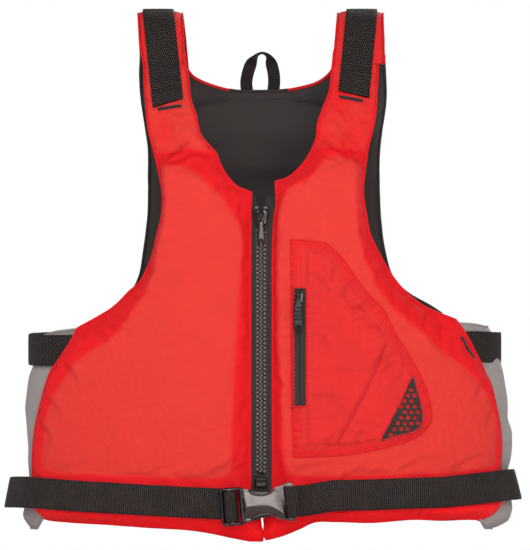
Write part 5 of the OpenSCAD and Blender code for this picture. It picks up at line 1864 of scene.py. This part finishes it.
def pocket_zip():
    """tapes, coils and end stops"""
    xc, y0 = POCKET_ZIP_X, POCKET_ZIP_Y
    tapes = [tape(xc + sign * 0.18, xc + sign * 6.4, ZIP_Z0 - 2, ZIP_Z1 + 2, y0 - 0.75,
                  wavy=0.12, seed=111 + sign) for sign in (-1, 1)]
    tapes.append(tape(xc - 1.5, xc + 1.5, ZIP_Z0 - 1, ZIP_Z1 + 1, y0 - 0.15, seed=115))
    ride(join("pocket_zip_tapes_cloth", tapes), "front_left", "zip_tape", "pocket_zip_tapes")

    pitch = 1.15
    turns = int((ZIP_Z1 - ZIP_Z0 - 4) / pitch)
    t = np.linspace(0, turns * 2 * math.pi, turns * 9)
    z = ZIP_Z0 + 2 + pitch * t / (2 * math.pi)
    coils = [tube(np.stack([xc + sign * (1.15 - 1.0 * np.cos(t)),
                            y0 + 0.85 - 0.55 * np.sin(t), z], 1), 0.33, MAT["pull"], seg=5)
             for sign in (-1, 1)]
    ride(join("pocket_zip_coils_moulded", coils), "front_left", "zip_plastic",
         "pocket_zip_coils")

    stops = [solid(rect_path(-2.4, 2.4, -1.1, 1.1, 0.6), 1.5, -0.6, MAT["pull"], h=0.7, r=0.5,
                   frame=facing(xc, y0 - 0.4, z)) for z in (ZIP_Z0 + 1.2, ZIP_Z1 - 0.8)]
    ride(join("pocket_zip_stops_clips", stops), "front_left", "zip_plastic",
         "pocket_zip_stops")


def pocket_slider():
    """two plates and a bridge"""
    x, y, metal = POCKET_ZIP_X, POCKET_ZIP_Y, MAT["slider"]
    frame = facing(x, y - 0.9, 200.3)
    plate = SHIELD * np.array([0.62, 0.72])
    parts = [solid(plate, lambda u, v, d: 2.5 - 0.03 * u * u, 1.2, metal, h=0.7, r=0.7,
                   rb=0.2, frame=frame),
             solid(plate * 0.96, -1.0, -1.9, metal, h=0.9, r=0.2, frame=frame)]
    bridge = [(x, y - 3.0, 204.0), (x, y - 4.9, 203.4), (x, y - 5.6, 201.4),
              (x, y - 5.2, 199.2), (x, y - 3.0, 197.6)]
    parts.append(tube(catmull(bridge, 6), 0.9, metal, seg=10, aspect=1.3, up=X_AXIS))
    ride(sharpen(join("pocket_slider_body", parts), 45), "pocket_slider", "slider_metal",
         "pocket_slider")


def pocket_pull():
    def front(u, v, d):
        ribs = np.cos((v + 14) * 1.9) * np.exp(-((v + 14) / 6.5) ** 4)
        return 1.35 + 0.3 * ribs * (np.abs(u) < 2.6)
    tab = solid(smooth_ring(POCKET_PULL, 6, 0.8), front, -0.95, MAT["pull"], h=0.75, r=0.75,
                holes=[eyelet(0.2, 0.95, 1.2), eyelet(-25.1, 1.75, 1.75)],
                frame=facing(30.5, -103.72, 200.4), name="pocket_pull_tab")
    ride(sharpen(tab, 50), "pocket_pull", "pull_plastic", "pocket_pull")


def zip_pin():
    """insertion pin of the right-hand tape"""
    pin = solid(rect_path(-1.2, 1.2, -4.0, 4.0, 0.5), 1.2, -1.2, MAT["zipbox"], h=0.6, r=0.5,
                frame=facing(-2.5, ZIP_Y, 50.6), name="zip_pin_rod")
    ride(pin, "front_right", "zip_plastic", "zip_pin")


pocket_zip()
pocket_slider()
pocket_pull()
zip_pin()

# ------------------------------------------------------------------ buckle
# frame tilted 5 degrees: u along the belt, v up, w to the viewer
COS_TILT, SIN_TILT = math.cos(math.radians(5)), math.sin(math.radians(5))
BUCKLE = (np.array([0, -99.9, BUCKLE_Z]), np.array([COS_TILT, 0, SIN_TILT]),
          np.array([-SIN_TILT, 0, COS_TILT]), np.array([0, -1.0, 0]))
FEMALE_TOP = [(-14.2, 13.0), (-11.0, 13.4), (-8.6, 12.2), (-6.6, 9.9), (-2.0, 8.3), (4.0, 8.0),
              (8.6, 9.4), (11.0, 11.6), (15.0, 13.0), (20.0, 14.9), (24.0, 15.9),
              (26.6, 15.6), (27.2, 13.8), (26.6, 8.0), (26.2, 0.0)]
FEMALE_BLOCK = points("""12.0 -12.6  17.0 -13.4  24.0 -15.4  26.4 -14.6  26.2 0
    26.4 14.6  24.0 15.4  17.0 13.4  12.0 12.6  12.6 0""")
# upper spring arm
ARM = points("""-14.6 7.4  -9 6.6  0 6.4  5.6 6.9  7.4 8.4  7.6 10.0  6.6 11.0  4.0 10.7
    -1.0 11.4  -5.5 12.6  -9.0 13.0  -11.2 12.2  -14.4 11.6""")
# upper edge of the finger window
WINDOW_RIM = points("-8.2 11.9  -6.6 9.7  -2.0 8.2  4.0 7.9  8.6 9.3  9.2 9.9")


def on_buckle(u, v, w):
    origin, eu, ev, ew = BUCKLE
    return origin + np.outer(u, eu) + np.outer(v, ev) + np.outer(w, ew)


def buckle_male():
    """frame with two slots, a tongue and a grip rib"""
    def front(u, v, d):
        return 6.6 + 0.9 * bell(u + 15.2, 2.2) + 0.35 * (np.abs(v) / 15.7) ** 2
    slots = [rounded_rect(-30.9, -27.3, -12.9, 12.9, 0.8, 3),
             rounded_rect(-22.4, -17.6, -12.9, 12.9, 0.8, 3)]
    parts = [solid(rounded_rect(-33.2, -13.6, -15.7, 15.7, 3.2), front, 1.3, MAT["frame"],
                   h=0.95, holes=slots, r=1.25, rb=0.8, frame=BUCKLE),
             solid(rounded_rect(-15.5, 6.0, -3.0, 3.0, 1.2), 6.6, 3.4, MAT["frame"], h=1.0,
                   r=0.8, frame=BUCKLE),
             tube(on_buckle(-32.0, np.linspace(-11.5, 11.5, 12), 6.9), 0.45, MAT["frame"])]
    ride(sharpen(join("buckle_male_moulding", parts), 50), "buckle_male", "buckle_plastic",
         "buckle_male")


def belt_tail():
    """tail of the belt turned over the bar"""
    u, w = catmull([(-30.6, 0.9), (-29.6, 3.6), (-28.6, 6.9), (-26.6, 8.6), (-23.8, 8.8),
                    (-21.4, 7.4), (-20.2, 4.2), (-19.4, 0.9)], 8).T
    tail = ribbon("belt_tail_webbing", on_buckle(u, 0, w), BUCKLE[2], 25.0, 1.7,
                  MAT["belt"], m=11)
    ride(tail, "buckle_male", "webbing", "belt_tail")


def buckle_arm(which, sign):
    """spring arm with a ribbed finger pad"""
    def front(u, v, d):
        return 7.3 - 0.5 * bell(d, 0.9) + 0.25 * np.cos(u * 2.6) * (np.abs(v) > 9.5)
    arm = solid(even_ring((ARM * (1, sign))[::sign]), front, 2.9, MAT["frame"], h=0.8, r=0.8,
                frame=BUCKLE, name="buckle_arm_%s_moulding" % which)
    ride(sharpen(arm, 50), "buckle_arm_" + which, "buckle_plastic", "buckle_arm_" + which)


def female_top(u, v, d):
    """a flat upper facet with a faint diagonal break, over a hollowed lower one"""
    edge = -0.6 - 0.012 * (u - 1) ** 2 * np.where(u > 1, 2.2, 0.25)
    up = np.maximum(0, v - edge)
    w = 10.3 - 0.2 * np.where(up < 0.8, up * up / 1.6, up - 0.4)
    w = w - 0.022 * np.maximum(0, 0.36 * (u + 12) - (v + 1.0)) * (up > 0)
    down = np.maximum(0, edge - v)
    return w - 0.16 * np.minimum(down, 3.0) - 0.03 * down * down


def buckle_female():
    """two plates joined by an end block with a webbing slot and by two corner posts"""
    bottom = [(u, -v) for u, v in FEMALE_TOP[::-1][1:]]
    mouth = [(-14.4, -6.0), (-13.6, 0.0), (-14.4, 6.0)]
    plate = even_ring((FEMALE_TOP + bottom + mouth)[::-1], 0.85)
    slot = [rounded_rect(19.2, 22.4, -12.9, 12.9, 0.9, 3)]
    look = dict(mat=MAT["buckle"], frame=BUCKLE)
    parts = [solid(plate, female_top,
                   lambda u, v, d: np.minimum(7.5, female_top(u, v, d) - 1.1),
                   h=0.8, holes=slot, r=1.3, rb=0.2, **look),
             solid(plate, 2.6, 0.1, h=1.1, holes=slot, r=0.2, rb=0.8, **look),
             solid(even_ring(FEMALE_BLOCK, 0.9), 7.9, 2.2, h=1.1, holes=slot, r=0.1, **look)]
    u = np.linspace(-8.2, 9.2, 16)
    for sign in (1, -1):
        low, high = sorted((10.9 * sign, 13.1 * sign))
        parts.append(solid(rounded_rect(-13.9, -9.4, low, high, 0.7), 7.9, 2.2, h=0.9, r=0.1,
                           **look))
        # crescent rim round the finger window
        parts.append(tube(on_buckle(u, sign * lookup(u, WINDOW_RIM),
                                    np.full(16, 7.9 if sign > 0 else 8.2)),
                          0.55, MAT["buckle"]))
    ride(sharpen(join("buckle_female_moulding", parts), 50), "front_left", "buckle_plastic",
         "buckle_female")


buckle_male()
belt_tail()
buckle_arm("upper", 1)
buckle_arm("lower", -1)
buckle_female()

# ------------------------------------------------------------------ back webbing
# x, z of the loop at the back of the neck
GRAB_LOOP = points("""-11.6 371.6  -12.2 379  -10.4 388  -7.2 396  -3.4 401.2  1.0 402.9
    5.0 401.0  8.0 395.4  10.2 387.5  10.9 379  10.2 371.6""")
# y share of the oval, y added, z
KEEPER = [(101.6, 1.0, 67.0), (104.0, 0.9, 63.5), (109.0, 0, 60.2), (109.6, 0, 52),
          (109.5, 0, 38), (109.0, 0, 30.4), (104.0, 0.9, 27.2), (101.8, 0.9, 24.0)]
# along the strap and away from the back: webbing woven through the adjuster, and its tail
ADJUSTER_WEB = points("""14.5 0.6  11.0 0.9  7.6 1.6  6.4 4.0  4.0 6.4  1.4 4.6  0.2 2.2
    -2.6 1.0  -5.6 1.8  -7.0 4.2  -9.2 6.4  -12.5 6.1  -17.0 3.4  -24 2.2  -31 1.9""")


def grab_loop():
    curve = resample(catmull(GRAB_LOOP, 7), 1.0)
    share = arclen(curve) / arclen(curve)[-1]
    t = np.gradient(curve, axis=0)
    t /= np.linalg.norm(t, axis=1, keepdims=True)
    in_plane = np.stack([t[:, 1], np.zeros(len(curve)), -t[:, 0]], 1)
    turned = bell(share - 0.5, 0.17)[:, None] * 0.97
    across = in_plane * (1 - turned) + np.array([0, 1.0, 0]) * turned
    y = 66.0 + 2.0 * np.sin(share * math.pi * 2) * 0.8
    band = ribbon("grab_loop_band", np.stack([curve[:, 0], y, curve[:, 1]], 1), across, 10.0,
                  2.0, MAT["loop"])
    ride(band, "grab_loop", "webbing", "grab_loop")


def belt_keeper(side):
    x = SIDES[side] * 70.0
    share = float(oval(70.0))
    y, z = catmull([(share * a + b, z) for a, b, z in KEEPER], 8).T
    normal = outward(x, arc_back(45))
    across = np.cross(normal, [0, 0, 1.0])
    path = np.stack([np.full(len(y), x), y, z], 1)
    parts = [ribbon("part", path, across, 19.6, 1.6, MAT["loop"])]
    parts += [bar_tack(path[i] + normal, across, normal, 16.0, 2.4)
              for i in (3, len(path) - 4)]
    ride(join("belt_keeper_%s_loop" % side, parts), "back", "webbing", "belt_keeper_" + side)


def side_adjuster(side):
    """plate with three slots on the strap's back end"""
    sign = SIDES[side]
    x, s = 141.0, arc_back(STRAP_BACK_Z)
    normal, centre = outward(x, s), surf(x, s, -1.2)
    normal[0] *= sign
    centre[0] *= sign
    normal /= np.linalg.norm(normal)
    eu = np.cross([0, 0, 1.0], normal)
    eu /= np.linalg.norm(eu)
    ev = np.cross(normal, eu)
    slots = [rounded_rect(u0, u1, -13.1, 13.1, 0.8, 3)
             for u0, u1 in ((-8.6, -4.4), (-1.6, 2.4), (5.2, 8.8))]
    plate = solid(rounded_rect(-12.0, 12.0, -16.2, 16.2, 2.8),
                  lambda u, v, d: 5.2 - 0.004 * u * u, 2.2, MAT["buckle"], h=1.0,
                  holes=slots, r=1.1, rb=0.6, frame=(centre, eu, ev, normal))
    plate = join("side_adjuster_%s_ladderlock" % side, [plate])
    ride(sharpen(plate, 50), "back", "buckle_plastic", "side_adjuster_" + side)
    u, w = (catmull(ADJUSTER_WEB, 7) * (sign, 1)).T
    web = ribbon("side_adjuster_%s_webbing" % side,
                 centre + np.outer(u, eu) + np.outer(w, normal), ev, 25.0, 1.6, MAT["web"])
    ride(web, "back", "webbing")


grab_loop()
for side in SIDES:
    belt_keeper(side)
    side_adjuster(side)

# ------------------------------------------------------------------ thread work
# centre x, z and slope of the tack at the shoulder webbing's front end
SHOULDER_TACK = {"right": ((-75.2, 356.2), 0.155), "left": ((74.0, 363.6), -0.19)}


def front_tacks(side):
    centre, slope = SHOULDER_TACK[side]
    place, normals = on_face(side, [centre])
    p, n = place[0], normals[0]
    across = np.array([1.0, 0, slope])
    across = across - n * (across @ n)
    unit = across / np.linalg.norm(across)
    parts = [bar_tack(p + n * 0.25, across, n, 19.0, 2.8),
             tube([p + unit * q + n * 0.05 for q in np.linspace(-9.6, 9.6, 12)], 0.75,
                  MAT["thread"], aspect=1.9, up=n)]
    if side == "left":
        # slanted tack near the end of the side strap
        path, normals = on_face(side, resample([(166.5, 168.1), (176.3, 150.9)], 1.0), 0.2)
        n = normals.mean(0)
        n /= np.linalg.norm(n)
        across = path[-1] - path[0]
        parts.append(bar_tack(path[len(path) // 2] + n * 0.5, across, n,
                              np.linalg.norm(across), 2.4))
        parts.append(tube(path + normals * 0.25, 0.75, MAT["thread"], aspect=1.7, up=normals))
    ride(join("bar_tacks_%s_thread" % side, parts), "front_" + side, "thread",
         "bar_tacks_" + side)


def neck_stitch():
    """stitch line of the neck facing along the back lining"""
    line = resample(catmull(points("""-56 376  -44 368.5  -23 364.0  0 363.4  17 363.8
        33 366  46 370  54 375"""), 8), 1.0)
    x, s = solve(line[:, 0], line[:, 1], 12.0, back=True)
    tree = kd_tree(zip_rows(t_of_x(BACK.x), BACK.s))
    depth = np.array([np.mean([BACK.inner[q[1]] for q in tree.find_n((a, b, 0), 3)])
                      for a, b in zip(t_of_x(x), s)])
    path = surf(x, s, depth + 0.15)
    row = stitches(path, path - surf(x, s, depth - 1.0), MAT["thread"], r=0.28,
                   name="back_neck_facing_stitch")
    ride(row, "back", "thread")


def zip_rows(a, b):
    return list(zip(a, b))


for side in SIDES:
    front_tacks(side)
neck_stitch()


# ------------------------------------------------------------------ foam and edges
def foam_slab(name, part):
    """closed-cell foam held between the two cloths"""
    ok = part.on_foam & (part.foam_d > 3.0)
    used, tris = renumber(part.tris[ok[part.tris].all(1)], len(part.pts))
    x, s, outer = part.x[used], part.s[used], part.depth[used]
    verts = np.concatenate([surf(x, s, outer + 3.6),
                            surf(x, s, np.maximum(part.inner[used] - 3.0, outer + 4.2))])
    slab = new_obj(name, verts, sheet_pair_faces(tris, len(used)), MAT["foam"])
    set_uv(slab, np.tile(part.pts[used, 0], 2), np.tile(part.pts[used, 1], 2))
    return slab


def rolled_edge(part, r, mat, seed, only=None, name="part"):
    """rolled cloth edge along a panel's seam; only picks part of the loop"""
    loop, e = part.loop, part.edge_depth
    if only is not None:
        k = np.nonzero(only)[0]
        gaps = np.nonzero(np.diff(k) > 1)[0]
        if len(gaps):
            k = np.concatenate([k[gaps[0] + 1:], k[:gaps[0] + 1]])
        loop, e = loop[k], e[k]
    path = surf(x_of_t(loop[:, 0]), loop[:, 1], e)
    radius = r * (1 + 0.10 * noise(np.arange(len(path)) / 3.0, 0.3, seed, 2))
    edge = tube(path, radius, mat, closed=only is None, name=name)
    set_attr(edge, "face", ROLL_TONE)
    return edge


def finish_front(side):
    part, body = FRONTS[side], "front_" + side
    foam = foam_slab("front_foam_%s_slab" % side, part)
    edge = rolled_edge(part, 1.25, MAT["red"], seed=4, name="front_%s_edge" % side)
    subdivide(part.cloth)
    ride(part.cloth, body, "shell_nylon", "front_shell_" + side)
    ride(part.lining, body, "lining_nylon", "front_lining_" + side)
    ride(foam, body, "foam", "front_foam_" + side)
    ride(edge, body, "shell_nylon")


def finish_back():
    x = x_of_t(BACK.loop[:, 0])
    neck = (profile(BACK.loop[:, 1])[1] > 366) & (np.abs(x) < 66)
    foam = foam_slab("back_foam_slab", BACK)
    neck_edge = join("back_neck_edge", [
        rolled_edge(BACK, 1.3, MAT["red"], seed=5, only=neck & (x < -25)),
        rolled_edge(BACK, 1.3, MAT["red"], seed=7, only=neck & (x > 22)),
        rolled_edge(BACK, 1.4, MAT["lining"], seed=8, only=neck & (x > -29) & (x < 26))])
    armhole_edge = rolled_edge(BACK, 1.5, MAT["lining"], seed=6, only=~neck,
                               name="back_armhole_edge")
    subdivide(BACK.cloth)
    subdivide(BACK.lining)
    ride(BACK.cloth, "back", "shell_nylon", "back_shell")
    ride(BACK.lining, "back", "lining_nylon", "back_lining")
    ride(foam, "back", "foam", "back_foam")
    ride(neck_edge, "back", "shell_nylon")
    ride(armhole_edge, "back", "lining_nylon")


for side in SIDES:
    finish_front(side)
finish_back()


# ------------------------------------------------------------------ studio, in metres
def floor():
    """white floor that turns to pure white for the camera far out and at grazing angles"""
    mesh = bpy.data.meshes.new("floor")
    s = 9.0
    mesh.from_pydata([(-s, -s, 0), (s, -s, 0), (s, s, 0), (-s, s, 0)], [], [(0, 1, 2, 3)])
    obj = bpy.data.objects.new("floor", mesh)
    SCENE.collection.objects.link(obj)
    T = Shader("studio_floor")
    colour = T.mix(T.noise(scale=3.0, detail=2.0), (0.90, 0.90, 0.90, 1),
                   (0.93, 0.93, 0.93, 1))
    matt = T.add("BsdfPrincipled", Base__Color=colour, Roughness=0.8,
                 Specular__IOR__Level=0.1)
    glow = T.add("Emission", Color=(1, 1, 1, 1), Strength=1.0)
    radius = T.add("VectorMath", _operation="LENGTH", a=T.obj()).outputs["Value"]
    white = T.ramp(radius, (0.16, 0.62), (0.62, 1.0))
    camera_ray = T.add("LightPath").outputs["Is Camera Ray"]
    geo = T.add("NewGeometry").outputs
    graze = T.math("ABSOLUTE", T.add("VectorMath", _operation="DOT_PRODUCT",
                                     a=geo["Incoming"], b=geo["Normal"]).outputs["Value"])
    white = T.math("MAXIMUM", white, T.ramp(graze, (0.04, 0.16), (1.0, 0.0)))
    mix = T.add("MixShader", a=T.mul(white, camera_ray), b=matt.outputs[0],
                c=glow.outputs[0])
    T.tree.links.new(mix.outputs[0], T.out.inputs[0])
    mesh.materials.append(T.mat)


def world():
    """white to the camera, dimmer as a light"""
    studio = bpy.data.worlds.new("studio")
    SCENE.world = studio
    studio.use_nodes = True
    tree = studio.node_tree
    background = tree.nodes["Background"]
    path = tree.nodes.new("ShaderNodeLightPath")
    strength = tree.nodes.new("ShaderNodeMix")
    strength.data_type = "FLOAT"
    tree.links.new(path.outputs["Is Camera Ray"], strength.inputs[0])
    strength.inputs[2].default_value = 0.42
    strength.inputs[3].default_value = 1.0
    background.inputs[0].default_value = (1, 1, 1, 1)
    tree.links.new(strength.outputs[0], background.inputs[1])


# name, place, target, size, power in watts
LIGHTS = [
    ("key", (-0.7, -1.6, 2.0), (0, 0, 0.22), 0.9, 7),
    ("softbox", (0.10, -1.95, 0.80), (0, 0, 0.12), 0.75, 14),
    ("low", (0.20, -1.7, 0.06), (0, 0, 0.02), 0.8, 11),
    ("fill", (2.0, -1.7, 0.5), (0, 0, 0.22), 1.4, 8),
    ("rim", (0.9, 2.0, 1.5), (0, 0, 0.25), 1.4, 22),
    ("left", (-2.4, -0.5, 0.5), (0, 0, 0.2), 1.2, 8)]


def area_light(name, place, target, size, power):
    light = bpy.data.lights.new(name, "AREA")
    light.shape, light.size, light.energy = "SQUARE", size, power
    obj = bpy.data.objects.new(name, light)
    SCENE.collection.objects.link(obj)
    obj.location = place
    aim = Vector(target) - Vector(place)
    obj.rotation_euler = aim.to_track_quat("-Z", "Y").to_euler()


def camera():
    """distant camera in front, framing a height of view_height"""
    distance_back, view_height = 15.0, 0.451
    lens = bpy.data.cameras.new("camera")
    obj = bpy.data.objects.new("camera", lens)
    SCENE.collection.objects.link(obj)
    obj.location = (0.0033, -0.098 - distance_back, 0.2189)
    obj.rotation_euler = (math.pi / 2, 0, 0)
    lens.sensor_fit = "VERTICAL"
    lens.sensor_height = 24.0
    lens.lens = 24.0 * distance_back / view_height
    lens.clip_end = 60
    SCENE.camera = obj


floor()
world()
for light in LIGHTS:
    area_light(*light)
SCENE.view_settings.view_transform = "Standard"
SCENE.view_settings.look = "None"
SCENE.view_settings.exposure = 0.0
camera()
